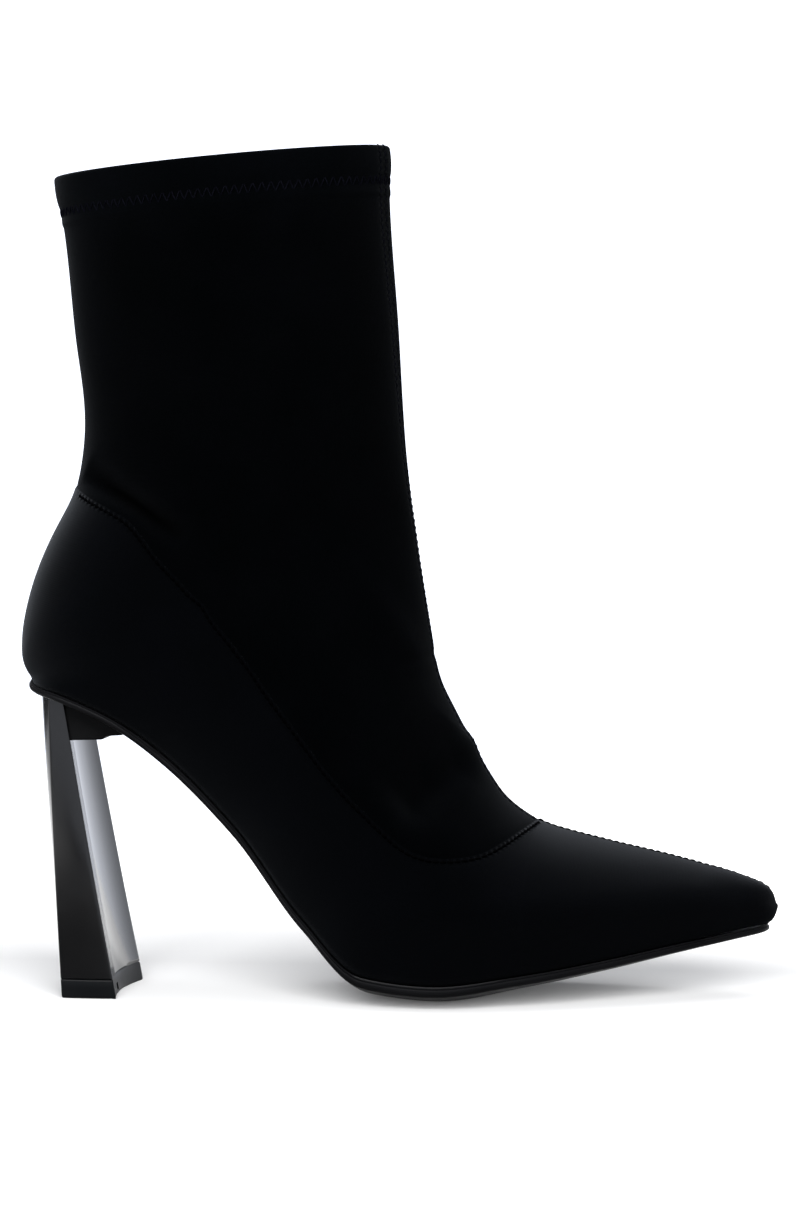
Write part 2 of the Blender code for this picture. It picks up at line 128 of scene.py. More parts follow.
HEEL_WIDE_TOP = 36.0
HEEL_WIDE_FLOOR = 42.0
HEEL_BACK_TOP = -102.1
HEEL_BACK_FLOOR = -97.8
HEEL_BACK_EASE = 1.35
HEEL_FRONT_FLOOR = -81.2
HEEL_FRONT_LEAN = 0.1757
HEEL_BULGE_TOP = 5.4
HEEL_BULGE_FLOOR = 2.3
BREAST_HOLLOW = 2.2
TIP_HEIGHT = 5.6
LIP_UNDER = 77.4
LIP_CORNER_X = -86.0
LIP_CHAMFER = 1.3
LIP_NOSE_X = -79.8
LIP_NOSE_Z = 78.8

# Cloth
CLOTH_STEP = 1.25          # mesh step on the cloth
SEAM_STEP = 0.22           # the upper stands out this far over the shaft
SEAM_ROLL = 0.9            # width of the rolled edge of the upper
SEAM_DIP = 0.1             # the shaft dives this far under that edge
SEAM_DIP_WIDE = 0.9
ROW_FROM_SEAM = 1.1        # topstitching, from the seam
ROW_START = VAMP_POINT + 0.02
ROW_END = SEAM_BACK - 0.15
TIP_PULL = (0.3, 1.0)      # sections from which the rows pull the cloth in
STITCH_PITCH = 2.15
STITCH_LONG = 1.5
STITCH_THICK = 0.8
HEM_THREAD = 0.42
STITCH_BOW = 0.2
STITCH_PULL = 0.25         # groove that the thread pulls into the cloth
PULL_WIDE = 0.9
BEAD = 0.16                # the cloth swells this far between stitches and sinks as far under them
BEAD_WIDE = 0.8
FEATHER_TUCK = 0.55        # the upper turns in over the sole
FEATHER_WIDE = 1.2
FEATHER_END = (SEAT_END - 0.4, SEAT_END + 0.2)
FRONT_ROWS = 1.7           # the two rows of the front seam, from its line
FRONT_GROOVE = 0.35
FRONT_GROOVE_WIDE = 0.7
RIM_RISE = 0.8             # rounding of the folded rim
HEM_LINE = 10.9            # zigzag, under the rim
HEM_DEEP = 14.8            # foot of the doubled hem, under the rim
HEM_STEP = 0.3
HEM_EDGE = (HEM_DEEP - 0.3, HEM_DEEP + 0.9)
HEM_PUFF = 0.4
ZIGZAG_GROOVE = 0.3
ZIGZAG_WIDE = 1.8
ZIGZAG_HIGH = 3.2
ZIGZAG_LEG = 1.35

# The front seam drifts to the outer side towards the collar
Drift = namedtuple("Drift", "section aside")
FRONT_DRIFT = (
    Drift(VAMP_POINT, 0.0),
    Drift(13, 0.3),
    Drift(17, 1.6),
    Drift(19, 4.2),
    Drift(COLLAR, 7.0),
)

# Soft troughs, with a depth below zero, and ridges: straight strokes in side view that fade at both ends
# side: -1 outer, 1 inner, 0 both and across the middle; right and left: widths on either hand of the stroke
Stroke = namedtuple("Stroke", "side from_x from_z to_x to_z right left depth")
SHAFT_STROKES = (
    Stroke(0, -92.0, 157.5, -58.0, 138.0, 4.5, 5.0, -5.0),      # fold over the counter
    Stroke(-1, 25.0, 76.0, 3.0, 55.0, 12.0, 7.0, -7.0),         # hollow above the vamp, outer side
    Stroke(1, 25.0, 77.0, 4.0, 56.0, 12.0, 7.0, -5.5),          # hollow above the vamp, inner side
    Stroke(0, 24.0, 52.0, 42.0, 69.0, 6.0, 6.0, -0.5),          # taut cloth behind the vamp point
    Stroke(-1, -8.0, 127.0, 12.0, 98.0, 4.0, 4.0, 0.9),         # faint fold under the shin
    Stroke(-1, -18.0, 118.0, 2.0, 91.0, 6.0, 6.0, -1.0),
    Stroke(1, -8.0, 121.0, 9.0, 102.0, 4.5, 4.5, 0.6),
    Stroke(0, 2.0, 100.0, 18.0, 104.5, 1.6, 1.6, -0.3),         # nick in the front line
    Stroke(0, 14.0, 71.5, 33.0, 82.5, 5.0, 3.5, 0.9),           # tuck at the bend of the instep
    Stroke(-1, -76.0, 172.0, -34.0, 162.0, 6.0, 6.0, -0.6),     # slack of the empty shaft
    Stroke(-1, -66.0, 182.0, -22.0, 175.0, 7.0, 7.0, 0.5),
    Stroke(1, -80.0, 174.0, -38.0, 165.0, 6.0, 6.0, -0.7),
    Stroke(1, -56.0, 191.0, -14.0, 181.0, 7.0, 7.0, 0.5),
)
FOLD_PAINTED_SHADE = (Stroke(0, -94.0, 159.1, -58.0, 138.4, 1.9, 2.7, -1.0),)   # painted shade: the cloth's colour is darkened to black inside the fold
STROKE_FADE = 0.8          # how slowly a stroke fades towards its ends
OFF_MIDDLE = (1.0, 14.0)   # a stroke on one side grows between these distances from the middle
HEM_PAINTED_LIGHT = 0.7            # painted light: the hem band's colour is made this much paler than the rest of the shaft, for the brighter light it catches
HEM_PAINTED_LIGHT_EDGE = (HEM_DEEP - 4.0, HEM_DEEP + 8.0)
UPPER_STROKES = (
    Stroke(-1, 0.0, 29.0, 122.0, 31.0, 6.0, 5.0, 1.0),          # shoulder along the toe, outer side
    Stroke(1, 0.0, 29.0, 122.0, 31.0, 6.0, 5.0, 1.0),           # shoulder along the toe, inner side
    Stroke(0, 94.0, 39.5, 116.0, 30.0, 4.0, 4.0, 0.5),          # full top of the toe
    Stroke(0, 113.5, 28.0, 110.5, 19.0, 2.5, 2.5, 1.0),         # blunt front of the toe
)

# Form: a dense grid of the last, smoothed along the boot
FORM_STEP = 0.75
FORM_TURNS = 161
FORM_SOFT = 3.5
TOE_ROWS = 16
TOE_REACH = 6.0
FREE_TURN = 0.2            # the edge over the sole keeps its line up to this turn
FREE_SEAT = (SEAT_END + 0.3, SEAT_END + 1.3)
FREE_TOE = (1.5, 3.0)


def slopes(at, value):
    """Slopes of a smooth curve through the given values that never overshoots them."""
    step = np.diff(at)
    secant = np.diff(value) / step
    result = np.zeros(len(at))
    for i in range(1, len(at) - 1):
        if secant[i - 1] * secant[i] > 0:
            before = 2 * step[i] + step[i - 1]
            after = step[i] + 2 * step[i - 1]
            result[i] = (before + after) / (before / secant[i - 1] + after / secant[i])
    result[0] = secant[0]
    result[-1] = secant[-1]
    return result


def smooth(at, value, where):
    """Value of that smooth curve at each place in where."""
    at = np.asarray(at, float)
    value = np.asarray(value, float)
    slope = slopes(at, value)
    where = np.clip(where, at[0], at[-1])
    i = np.clip(np.searchsorted(at, where, side="right") - 1, 0, len(at) - 2)
    step = at[i + 1] - at[i]
    s = (where - at[i]) / step
    start = (1 + 2 * s) * (1 - s) ** 2 * value[i] + s * (1 - s) ** 2 * step * slope[i]
    end = s * s * (3 - 2 * s) * value[i + 1] + s * s * (s - 1) * step * slope[i + 1]
    return start + end


def step_between(low, high, value):
    """0 below low, 1 above high, and a soft step between."""
    s = np.clip((np.asarray(value, float) - low) / (high - low), 0, 1)
    return s * s * (3 - 2 * s)


def bell(value, wide):
    return np.exp(-(value / wide) ** 2)


def column(name):
    return np.array([getattr(row, name) for row in SECTIONS])


def section_spacing():
    """Distance from the toe to each section, halfway between its low and its top line."""
    low = np.hypot(np.diff(column("low_x")), np.diff(column("low_z")))
    top = np.hypot(np.diff(column("top_x")), np.diff(column("top_z")))
    return np.concatenate([[0.0], np.cumsum((low + top) / 2)])


SPACING = section_spacing()


def along(section):
    return np.interp(section, np.arange(len(SECTIONS)), SPACING)


def section_at(distance):
    return np.interp(distance, SPACING, np.arange(len(SECTIONS)))


def profile(name, section):
    """A column of the section table, between its rows."""
    return smooth(SPACING, column(name), along(section))


def between_rows(rows, name, section):
    """A column of another table, whose rows name their sections."""
    return smooth(along([row.section for row in rows]), [getattr(row, name) for row in rows], along(section))


def half_width(section):
    return BALL_HALF * np.sqrt(smooth(SPACING, column("half") ** 2, along(section)))


def foot_width(section):
    """Half width where the sole begins, which ends round at the toe and at the back of the seat."""
    rows = slice(0, SEAT_END + 1)
    square = smooth(SPACING[rows], column("foot")[rows] ** 2, along(section))
    return np.where(section >= SEAT_END, 0.0, BALL_HALF * np.sqrt(np.maximum(square, 0.0)))


def foot_angle(half, foot):
    return np.arccos(np.clip(foot / np.maximum(half, TINY), 0, WIDEST_FOOT))


def boot_points(section, turn, side, inset):
    """Points of the last's surface, or of one lying inset under it."""
    low = np.stack([profile("low_x", section), profile("low_z", section)], axis=-1)
    top = np.stack([profile("top_x", section), profile("top_z", section)], axis=-1)
    wide_at = profile("wide_at", section)
    span = top - low
    height = np.linalg.norm(span, axis=-1)
    trim = np.minimum(inset, height / 4) / height
    half = half_width(section)
    half = half - np.clip(inset, 0, (1 - THINNEST) * half)
    foot = foot_width(section)
    foot = np.maximum(foot - inset, THINNEST * foot)

    lower = turn < 0.5
    cut = foot_angle(half, foot)
    below = cut * np.clip(1 - 2 * turn, 0, 1)
    above = np.pi * np.clip(turn - 0.5, 0, 0.5)
    peak = np.where(turn >= 1, 0.0, np.clip(np.cos(above), 0, 1)) ** profile("ridge", section)
    sideways = half * np.where(lower, np.cos(below), peak)
    sideways = np.where(turn <= 0, foot, sideways)
    share_low = wide_at * (1 - np.sin(below) / np.sin(cut))
    share_top = wide_at + (1 - wide_at) * np.sin(above)
    share = trim + np.where(lower, share_low, share_top) * (1 - 2 * trim)
    place = low + span * share[..., None]
    across = profile("swing", section) + side * sideways
    return np.stack([place[..., 0], across, place[..., 1]], axis=-1)


def hollow_points(section, turn, side):
    """Inside of the toe's wall, filled at the tip and drawn to an upright edge."""
    blend = np.clip(section / TOE_BLEND, 0, 1)
    inner = np.where(section < TOE_BLEND, TOE_FILL + (TOE_BLEND - TOE_FILL) * blend, section)
    points = boot_points(inner, turn, side, WALL)
    middle = profile("swing", inner)
    pinch = np.sqrt(np.clip(section / TOE_PINCH, 0, 1))
    points[..., 1] = middle + (points[..., 1] - middle) * pinch
    return points


def seam_turn(section):
    """Turn at which the seam crosses a section."""
    rows = slice(VAMP_POINT, SEAM_BACK + 1)
    share = np.clip(smooth(SPACING[rows], column("seam")[rows], along(section)), 0, 1)
    wide_at = profile("wide_at", section)
    cut = foot_angle(half_width(section), foot_width(section))
    below = np.arcsin(np.clip((1 - share / wide_at) * np.sin(cut), 0, 1)) / cut
    above = np.arcsin(np.clip((share - wide_at) / (1 - wide_at), 0, 1)) / np.pi
    return np.where(share < wide_at, 0.5 - below / 2, 0.5 + above)


def form_distances():
    toe = TOE_REACH * np.linspace(0, 1, TOE_ROWS + 1) ** 2
    rest = np.arange(TOE_REACH + FORM_STEP, SPACING[-1], FORM_STEP)
    return np.concatenate([toe, rest, SPACING[-1:]])


FORM_AT = form_distances()


def soften(points, weight):
    """Points smoothed along the boot, as far as weight says."""
    reach = int(3 * FORM_SOFT / FORM_STEP)
    offset = np.arange(-reach, reach + 1) * FORM_STEP
    kernel = bell(offset, FORM_SOFT * np.sqrt(2))
    kernel /= kernel.sum()
    before = 2 * points[:1] - points[reach:0:-1]
    after = 2 * points[-1:] - points[-2:-reach - 2:-1]
    padded = np.concatenate([before, points, after])
    blurred = sum(k * padded[i:i + len(points)] for i, k in enumerate(kernel))
    return points + weight[..., None] * (blurred - points)


def unit(vectors):
    return vectors / np.maximum(np.linalg.norm(vectors, axis=-1, keepdims=True), TINY)


def make_form(side):
    """Dense grids of the last's points and of its outward normals on one side."""
    section, turn = np.meshgrid(section_at(FORM_AT), np.linspace(0, 1, FORM_TURNS), indexing="ij")
    points = boot_points(section, turn, side, 0.0)
    free = np.maximum(step_between(0, FREE_TURN, turn), step_between(*FREE_SEAT, section))
    points = soften(points, free * step_between(*FREE_TOE, section))
    normals = side * np.cross(np.gradient(points, axis=0), np.gradient(points, axis=1))
    normals[:, -1, 1] = 0.0
    normals[section[:, 0] >= SEAT_END, 0, 1] = 0.0
    return points, unit(normals)


FORM = {side: make_form(side) for side in SIDES}


def sample(grid, section, turn):
    """Value of a dense grid at places given by section and turn."""
    row = np.interp(along(section), FORM_AT, np.arange(len(FORM_AT)))
    col = np.clip(turn, 0, 1) * (FORM_TURNS - 1)
    r = np.clip(row.astype(int), 0, len(FORM_AT) - 2)
    c = np.clip(col.astype(int), 0, FORM_TURNS - 2)
    fr = (row - r)[..., None]
    fc = (col - c)[..., None]
    near = grid[r, c] * (1 - fc) + grid[r, c + 1] * fc
    far = grid[r + 1, c] * (1 - fc) + grid[r + 1, c + 1] * fc
    return near * (1 - fr) + far * fr


def on_form(section, turn, side):
    return sample(FORM[side][0], np.asarray(section, float), np.asarray(turn, float))


def run_length(points):
    """Distance along a line of points to each of them."""
    return np.concatenate([[0.0], np.cumsum(np.linalg.norm(np.diff(points, axis=0), axis=1))])


def even_points(points, step, start=0.0):
    """Points at even steps along a line."""
    length = run_length(points)
    where = np.arange(start, length[-1], step)
    return np.stack([np.interp(where, length, points[:, i]) for i in range(3)], axis=-1)


# Lines on the form
LINE_POINTS = 600
BESIDE = 0.06              # turn from the front line to a place beside it
MARK_STEP = 0.4            # step along the lines that distances are measured to
SEAM_DENSE = VAMP_POINT + (SEAM_BACK - VAMP_POINT) * (1 - np.cos(np.linspace(0, np.pi, 1500))) / 2
THROAT = {side: on_form(SEAM_DENSE, seam_turn(SEAM_DENSE), side) for side in SIDES}
RIDGE = on_form(np.linspace(1.0, VAMP_POINT, 300), np.ones(300), 1)


def front_line(aside):
    """Line of the shaft's front seam, moved aside by some mm to the outer side."""
    section = np.linspace(ROW_START, COLLAR, LINE_POINTS)
    drift = aside + between_rows(FRONT_DRIFT, "aside", section)
    lines = {}
    for side in SIDES:
        top = on_form(section, np.ones(LINE_POINTS), side)
        beside = on_form(section, np.full(LINE_POINTS, 1 - BESIDE), side)
        mm_per_turn = np.linalg.norm(top - beside, axis=-1) / BESIDE
        lines[side] = on_form(section, 1 - np.clip(-side * drift, 0, None) / mm_per_turn, side)
    return np.where((drift > 0)[:, None], lines[-1], lines[1])


SHAFT_ROWS = [front_line(aside) for aside in (-FRONT_ROWS, FRONT_ROWS)]


def hem_length(turn, side):
    """Distance from the rim down to the foot of the hem, at a turn."""
    rim = on_form(np.full(turn.shape, float(COLLAR)), turn, side)
    foot = on_form(np.full(turn.shape, float(HEM_FOOT)), turn, side)
    return np.linalg.norm(rim - foot, axis=-1)


def hem_line(depth):
    """Closed line round the shaft at a depth under the rim, from the front by the outer side."""
    parts = []
    for side, turn in ((-1, np.linspace(1, 0, 500)), (1, np.linspace(0, 1, 500)[1:])):
        parts.append(on_form(COLLAR - depth / hem_length(turn, side), turn, side))
    return np.concatenate(parts)


def nearest(points, lines):
    """Distance from each point to the nearest of the lines, and how far along that line it lies."""
    marks = []
    for line in lines:
        marks += [(p, i * MARK_STEP) for i, p in enumerate(even_points(line, MARK_STEP))]
    tree = KDTree(len(marks))
    for i, (p, _) in enumerate(marks):
        tree.insert(p, i)
    tree.balance()
    found = [tree.find(p) for p in points.reshape(-1, 3)]
    gap = np.array([f[2] for f in found]).reshape(points.shape[:-1])
    run = np.array([marks[f[1]][1] for f in found]).reshape(points.shape[:-1])
    return gap, run


def stroke_relief(points, section, side, strokes, seam_gap):
    """Height of the troughs and ridges at each point, fading out towards the seam."""
    height = np.zeros(points.shape[:-1])
    place = points[..., [0, 2]]
    off_middle = step_between(*OFF_MIDDLE, np.abs(points[..., 1] - profile("swing", section)))
    for stroke in strokes:
        if stroke.side not in (0, side):
            continue
        start = np.array([stroke.from_x, stroke.from_z])
        run = np.array([stroke.to_x, stroke.to_z]) - start
        share = np.clip(((place - start) @ run) / (run @ run), 0, 1)
        offset = place - start - share[..., None] * run
        on_left = offset[..., 1] * run[0] > offset[..., 0] * run[1]
        wide = np.where(on_left, stroke.left, stroke.right)
        fade = step_between(0.0, 1.0 + max(stroke.right, stroke.left), seam_gap)
        fade = fade if stroke.side == 0 else fade * off_middle
        fade = fade * (4 * share * (1 - share)) ** STROKE_FADE
        height += stroke.depth * bell(np.linalg.norm(offset, axis=-1), wide) * fade
    return height


def stitch_line(side):
    """Line of topstitching on the upper, at an even distance under the seam."""
    section = np.linspace(ROW_START, ROW_END, 700)
    seam = on_form(section, seam_turn(section), side)
    normal = sample(FORM[side][1], section, seam_turn(section))
    ahead = unit(np.gradient(seam, axis=0))
    return seam + ROW_FROM_SEAM * unit(np.cross(normal, ahead)) * -side


UPPER_ROWS = [stitch_line(side) for side in SIDES] + [RIDGE]


def upper_relief(points, section, turn, side):
    """Relief of the vamp and counter: rolled edge at the seam, stitch rows, and the tuck over the sole."""
    gap, _ = nearest(points, THROAT.values())
    height = SEAM_STEP * step_between(0.0, SEAM_ROLL, gap)
    row_gap, _ = nearest(points, UPPER_ROWS)
    height -= STITCH_PULL * bell(row_gap, PULL_WIDE) * step_between(*TIP_PULL, section)
    reach = run_across(points)
    open_foot = 1 - step_between(*FEATHER_END, section)
    back_gap = np.linalg.norm(points - on_form([SEAT_END], [0.0], side)[0], axis=-1)
    height -= FEATHER_TUCK * np.maximum(bell(reach, FEATHER_WIDE) * open_foot, bell(back_gap, FEATHER_WIDE))
    height += stroke_relief(points, section, side, UPPER_STROKES, gap)
    return height


def run_across(points):
    """Distance along each row of a grid, from its first column."""
    step = np.linalg.norm(np.diff(points, axis=1), axis=-1)
    return np.concatenate([np.zeros((len(points), 1)), np.cumsum(step, axis=1)], axis=1)


def shaft_relief(points, section, turn, side):
    """Relief of the shaft: dive under the upper, folds, front seam and hem."""
    gap, _ = nearest(points, THROAT.values())
    height = -SEAM_DIP * bell(gap, SEAM_DIP_WIDE)
    height += stroke_relief(points, section, side, SHAFT_STROKES, gap)
    front_gap, _ = nearest(points, [front_line(0.0)])
    height -= FRONT_GROOVE * bell(front_gap, FRONT_GROOVE_WIDE)
    row_gap, _ = nearest(points, SHAFT_ROWS)
    height -= STITCH_PULL * bell(row_gap, PULL_WIDE)
    depth = (COLLAR - section) * hem_length(turn, side)
    height += HEM_STEP * (1 - step_between(*HEM_EDGE, depth))
    height += HEM_PUFF * np.sin(np.pi * np.clip(depth / HEM_LINE, 0, 1))
    height -= ZIGZAG_GROOVE * bell(depth - HEM_LINE, ZIGZAG_WIDE)
    return height


def shaft_painted_light_shade(section, turn, side):
    """Painted light and shade in the shaft's colour: above zero the hem band is painted paler for the light
    it catches, below zero the fold is painted darker as shade.
    """
    depth = (COLLAR - section) * hem_length(turn, side)
    # painted light: the hem band is paler
    hem = HEM_PAINTED_LIGHT * (1 - step_between(*HEM_PAINTED_LIGHT_EDGE, depth))
    points = on_form(section, turn, side)
    gap, _ = nearest(points, THROAT.values())
    # painted shade: the fold's colour is darkened
    return hem + stroke_relief(points, section, side, FOLD_PAINTED_SHADE, gap)


def seam_sections():
    """Sections at which the seam is crossed at even steps along it."""
    length = run_length(THROAT[-1])
    return np.interp(np.linspace(0, length[-1], round(length[-1] / CLOTH_STEP)), length, SEAM_DENSE)


CROWDING = 0.55


def crowded(count):
    """Shares from 0 to 1, closer together at both ends."""
    s = np.linspace(0, 1, count + 1)
    return s - CROWDING * np.sin(2 * np.pi * s) / (2 * np.pi)


def stepped(start, end, step):
    """Sections from start to before end, at even steps along the boot."""
    first, last = along(start), along(end)
    return section_at(np.linspace(first, last, max(2, round((last - first) / step)), endpoint=False))


def in_scene(name, data):
    thing = bpy.data.objects.new(name, data)
    bpy.context.scene.collection.objects.link(thing)
    return thing


def add_object(name, points, faces, materials, face_material=None, uv=None, values=None):
    """Mesh object from points in mm, with UV pairs for its corners and named values for its points."""
    mesh = bpy.data.meshes.new(name)
    mesh.from_pydata((np.asarray(points) * MM).tolist(), [], faces)
    for material in materials:
        mesh.materials.append(material)
    if face_material is not None:
        mesh.polygons.foreach_set("material_index", np.asarray(face_material, np.int32))
    if uv is not None:
        layer = mesh.uv_layers.new(name="cloth")
        layer.uv.foreach_set("vector", np.asarray(uv, np.float32).ravel())
    for key, numbers in (values or {}).items():
        mesh.attributes.new(key, "FLOAT", "POINT").data.foreach_set("value", np.asarray(numbers, np.float32))
    mesh.shade_smooth()
    return in_scene(name, mesh)


UV_LENGTH = 100.0          # mm of cloth for one unit of the UV map
SHARP_LAYERED = 45         # edges bent further than this, in degrees, stay sharp
SHARP_LOFTED = 30


def layered_solid(name, sheets, materials):
    """Closed solid between the first and the last layer of each sheet of points.

    Sheets are (layers, flip, uv, values). They are joined where they share points on the first layer, and
    along the edges of the whole a wall runs through every layer in turn. The inside takes the last material.
    """
    number = {}
    layers = [[] for _ in sheets[0][0]]
    faces, corners = [], []
    kept = {key: [] for key in sheets[0][3]}
    for sheet, flip, uv, values in sheets:
        rows, columns = sheet[0].shape[:2]
        grid = np.zeros((rows, columns), int)
        keys = np.round(sheet[0], 3)
        for r in range(rows):
            for c in range(columns):
                key = tuple(keys[r, c])
                if key not in number:
                    number[key] = len(number)
                    for store, layer in zip(layers, sheet):
                        store.append(layer[r, c])
                    for label, numbers in values.items():
                        kept[label].append(numbers[r, c])
                grid[r, c] = number[key]
        for r in range(rows - 1):
            for c in range(columns - 1):
                spots = [(r, c), (r, c + 1), (r + 1, c + 1), (r + 1, c)]
                spots = [s for i, s in enumerate(spots) if grid[s] != grid[spots[i - 1]]]
                if len(spots) > 2:
                    spots = spots[::-1] if flip else spots
                    faces.append([int(grid[s]) for s in spots])
                    corners.append([uv[s] for s in spots])

    count = len(number)
    directed = {(a, b) for ring in faces for a, b in zip(ring, ring[1:] + ring[:1])}
    edges = sorted((a, b) for a, b in directed if (b, a) not in directed)
    points = layers[0] + layers[-1]
    kept = {key: numbers + numbers for key, numbers in kept.items()}
    rim = {}
    for a in sorted({p for edge in edges for p in edge}):
        rim[a] = [a] + [len(points) + i for i in range(len(layers) - 2)] + [a + count]
        for layer in layers[1:-1]:
            points.append(layer[a])
            for numbers in kept.values():
                numbers.append(numbers[a])
    place = {p: c for ring, pairs in zip(faces, corners) for p, c in zip(ring, pairs)}
    inside = [[p + count for p in reversed(ring)] for ring in faces]
    wall, wall_uv = [], []
    for a, b in edges:
        for i in range(len(layers) - 1):
            wall.append([rim[b][i], rim[a][i], rim[a][i + 1], rim[b][i + 1]])
            wall_uv.append([place[b], place[a], place[a], place[b]])
    uv = [c for ring in corners for c in ring]
    uv += [c for ring in corners for c in reversed(ring)]
    uv += [c for ring in wall_uv for c in ring]
    last = len(materials) - 1
    index = [0] * len(faces) + [last] * len(inside) + [0] * len(wall)
    piece = add_object(name, points, faces + inside + wall, materials, index, uv, kept)
    return finished(piece, SHARP_LAYERED)


def finished(piece, sharp):
    """The piece with its faces outwards and its edges marked."""
    work = bmesh.new()
    work.from_mesh(piece.data)
    if work.calc_volume(signed=True) < 0:
        bmesh.ops.reverse_faces(work, faces=work.faces)
    work.to_mesh(piece.data)
    work.free()
    piece.data.set_sharp_from_angle(angle=np.radians(sharp))
    return piece


def cloth_sheet(section, turn, side, relief, rows):
    """Face of one side of a cloth piece, its normals, its UV map and its places beside the stitch rows."""
    base = on_form(section, turn, side)
    normal = sample(FORM[side][1], section, turn)
    middle = (turn >= 1) | ((turn <= 0) & (section >= SEAT_END))
    normal[..., 1] = np.where(middle, 0.0, normal[..., 1])
    normal = unit(normal)
    face = base + normal * relief(base, section, turn, side)[..., None]
    girth = run_across(base)
    uv = np.stack([side * (girth[:, -1:] - girth), np.broadcast_to(along(section), girth.shape)], axis=-1)
    gap, run = nearest(base, rows)
    return face, normal, grid_pairs(uv[..., 0], uv[..., 1]), {"row_gap": gap, "row_run": run}


def grid_pairs(x, y):
    """UV pairs by place in a grid."""
    return {spot: (x[spot] / UV_LENGTH, y[spot] / UV_LENGTH) for spot in np.ndindex(x.shape)}


UPPER_TIP = 4.0            # the mesh is finer over this length at the toe
UPPER_TIP_ROWS = 12
UPPER_COLUMNS = 46
FILL_EDGE = (2.2, 4.5)     # sections between which the inside of the toe opens to the wall


def make_upper(materials):
    """Vamp and counter."""
    tip = section_at(UPPER_TIP * np.linspace(0, 1, UPPER_TIP_ROWS) ** 2)
    rows = np.concatenate([tip, stepped(tip[-1], VAMP_POINT, CLOTH_STEP)[1:], seam_sections()])
    end = np.where(rows > VAMP_POINT, seam_turn(np.maximum(rows, VAMP_POINT)), 1.0)
    section, share = np.meshgrid(rows, crowded(UPPER_COLUMNS), indexing="ij")
    turn = share * end[:, None]
    sheets = []
    for side in SIDES:
        face, normal, uv, values = cloth_sheet(section, turn, side, upper_relief, UPPER_ROWS)
        inner = face - normal * WALL
        hollow = hollow_points(section, turn, side)
        inner = hollow + (inner - hollow) * step_between(*FILL_EDGE, section)[..., None]
        sheets.append(([face, inner], side > 0, uv, values))
    return layered_solid("upper_cloth", sheets, materials)


RIM = COLLAR - 0.05        # where the cloth turns over at the collar
RIM_PLACES = (0.12, 0.32, 0.68, 0.88)   # places across the wall of the rounded rim
HEM_START = HEM_FOOT - 0.1
HEM_ROWS = 28
SHAFT_COLUMNS = 76


def make_shaft(materials):
    """Stretch tube from the seam to the collar."""
    rows = np.concatenate([seam_sections(), stepped(SEAM_BACK, HEM_START, CLOTH_STEP)[1:],
                           np.linspace(HEM_START, RIM, HEM_ROWS)])
    start = np.where(rows < SEAM_BACK, seam_turn(np.minimum(rows, SEAM_BACK)), 0.0)
    start[0] = 1.0
    section, share = np.meshgrid(rows, crowded(SHAFT_COLUMNS), indexing="ij")
    turn = start[:, None] + share * (1 - start[:, None])
    sheets = []
    for side in SIDES:
        face, normal, uv, values = cloth_sheet(section, turn, side, shaft_relief, SHAFT_ROWS)
        # painted light and shade in the cloth's colour
        values["painted_light_shade"] = shaft_painted_light_shade(section, turn, side)
        up = unit(np.gradient(face, axis=0)) * (section >= RIM)[..., None] * RIM_RISE
        layers = [face]
        for share_in in RIM_PLACES:
            layers.append(face - normal * WALL * share_in + up * np.sqrt(1 - (2 * share_in - 1) ** 2))
        layers.append(face - normal * WALL)
        sheets.append((layers, side > 0, uv, values))
    return layered_solid("shaft_cloth", sheets, materials)


def sole_edge(section, side, margin):
    """Plan points of the sole's edge: the foot of the upper, moved outwards by margin."""
    x = profile("low_x", section)
    y = profile("swing", section) + side * foot_width(section)
    ahead = np.gradient(x)
    outward = np.gradient(y)
    size = np.maximum(np.hypot(ahead, outward), TINY)
    normal_x = side * outward / size
    normal_y = -side * ahead / size
    for end, way in ((0, 1.0), (-1, -1.0)):
        if foot_width(section)[end] < TINY:
            normal_x[end] = way
            normal_y[end] = 0.0
    sideways = step_between(*ROUND_END, np.abs(normal_y))
    clear = np.abs(normal_y) > STEEPEST
    across = np.where(clear, 1 / np.where(clear, normal_y, 1.0), 0.0)
    shift_x = margin * normal_x * (1 - sideways)
    shift_y = margin * (across * sideways + normal_y * (1 - sideways))
    return x + shift_x, y + shift_y


def across_grid(section, margin, columns, narrow=1.0):
    """Plan points in rows across the foot, and each one's place from -1 to 1."""
    place = np.linspace(-1, 1, columns + 1)[None, :] * np.ones_like(section)[:, None]
    plan = []
    for outer, inner in zip(sole_edge(section, -1, margin), sole_edge(section, 1, margin)):
        plan.append((outer + inner)[:, None] / 2 + place * ((inner - outer) / 2 * narrow)[:, None])
    return *plan, place


def sole_thick(section):
    return between_rows(SOLE_ROWS, "thick", section)


def sole_under(section, place):
    """Height of the sole's underside: crowned across and flat where it meets the floor."""
    edge = profile("low_z", section) - CLEARANCE - sole_thick(section)
    crown = between_rows(SOLE_ROWS, "crown", section)
    lean = (place - CROWN_AT) / (1 - CROWN_AT * np.sign(place - CROWN_AT))
    return np.maximum(edge[:, None] - crown[:, None] * (1 - lean ** 2), 0.0)


END_STEPS = np.array([0.0, 0.1, 0.3, 0.6, 1.0, 1.5, 2.1])   # close rows at the sole's round ends
END_REACH = 2.9


def sole_sections(start, step):
    """Sections along the sole, closer together at its round ends."""
    first, last = along(start), along(SEAT_END)
    middle = np.linspace(first + END_REACH, last - END_REACH, round((last - first) / step))
    return section_at(np.concatenate([first + END_STEPS, middle, last - END_STEPS[::-1]]))


# The sole's side from its tread up: margin past the upper and height as a share of the thickness
SOLE_SIDE = (
    (-0.10, 0.00),
    (0.35, 0.05),
    (0.68, 0.16),
    (0.80, 0.32),
    (0.80, 0.60),
    (0.70, 0.70),
    (0.40, 0.74),
    (0.44, 0.80),
    (0.40, 0.94),
    (0.20, 1.00),
)
SOLE_COLUMNS = 26
SOLE_STEP = 1.6


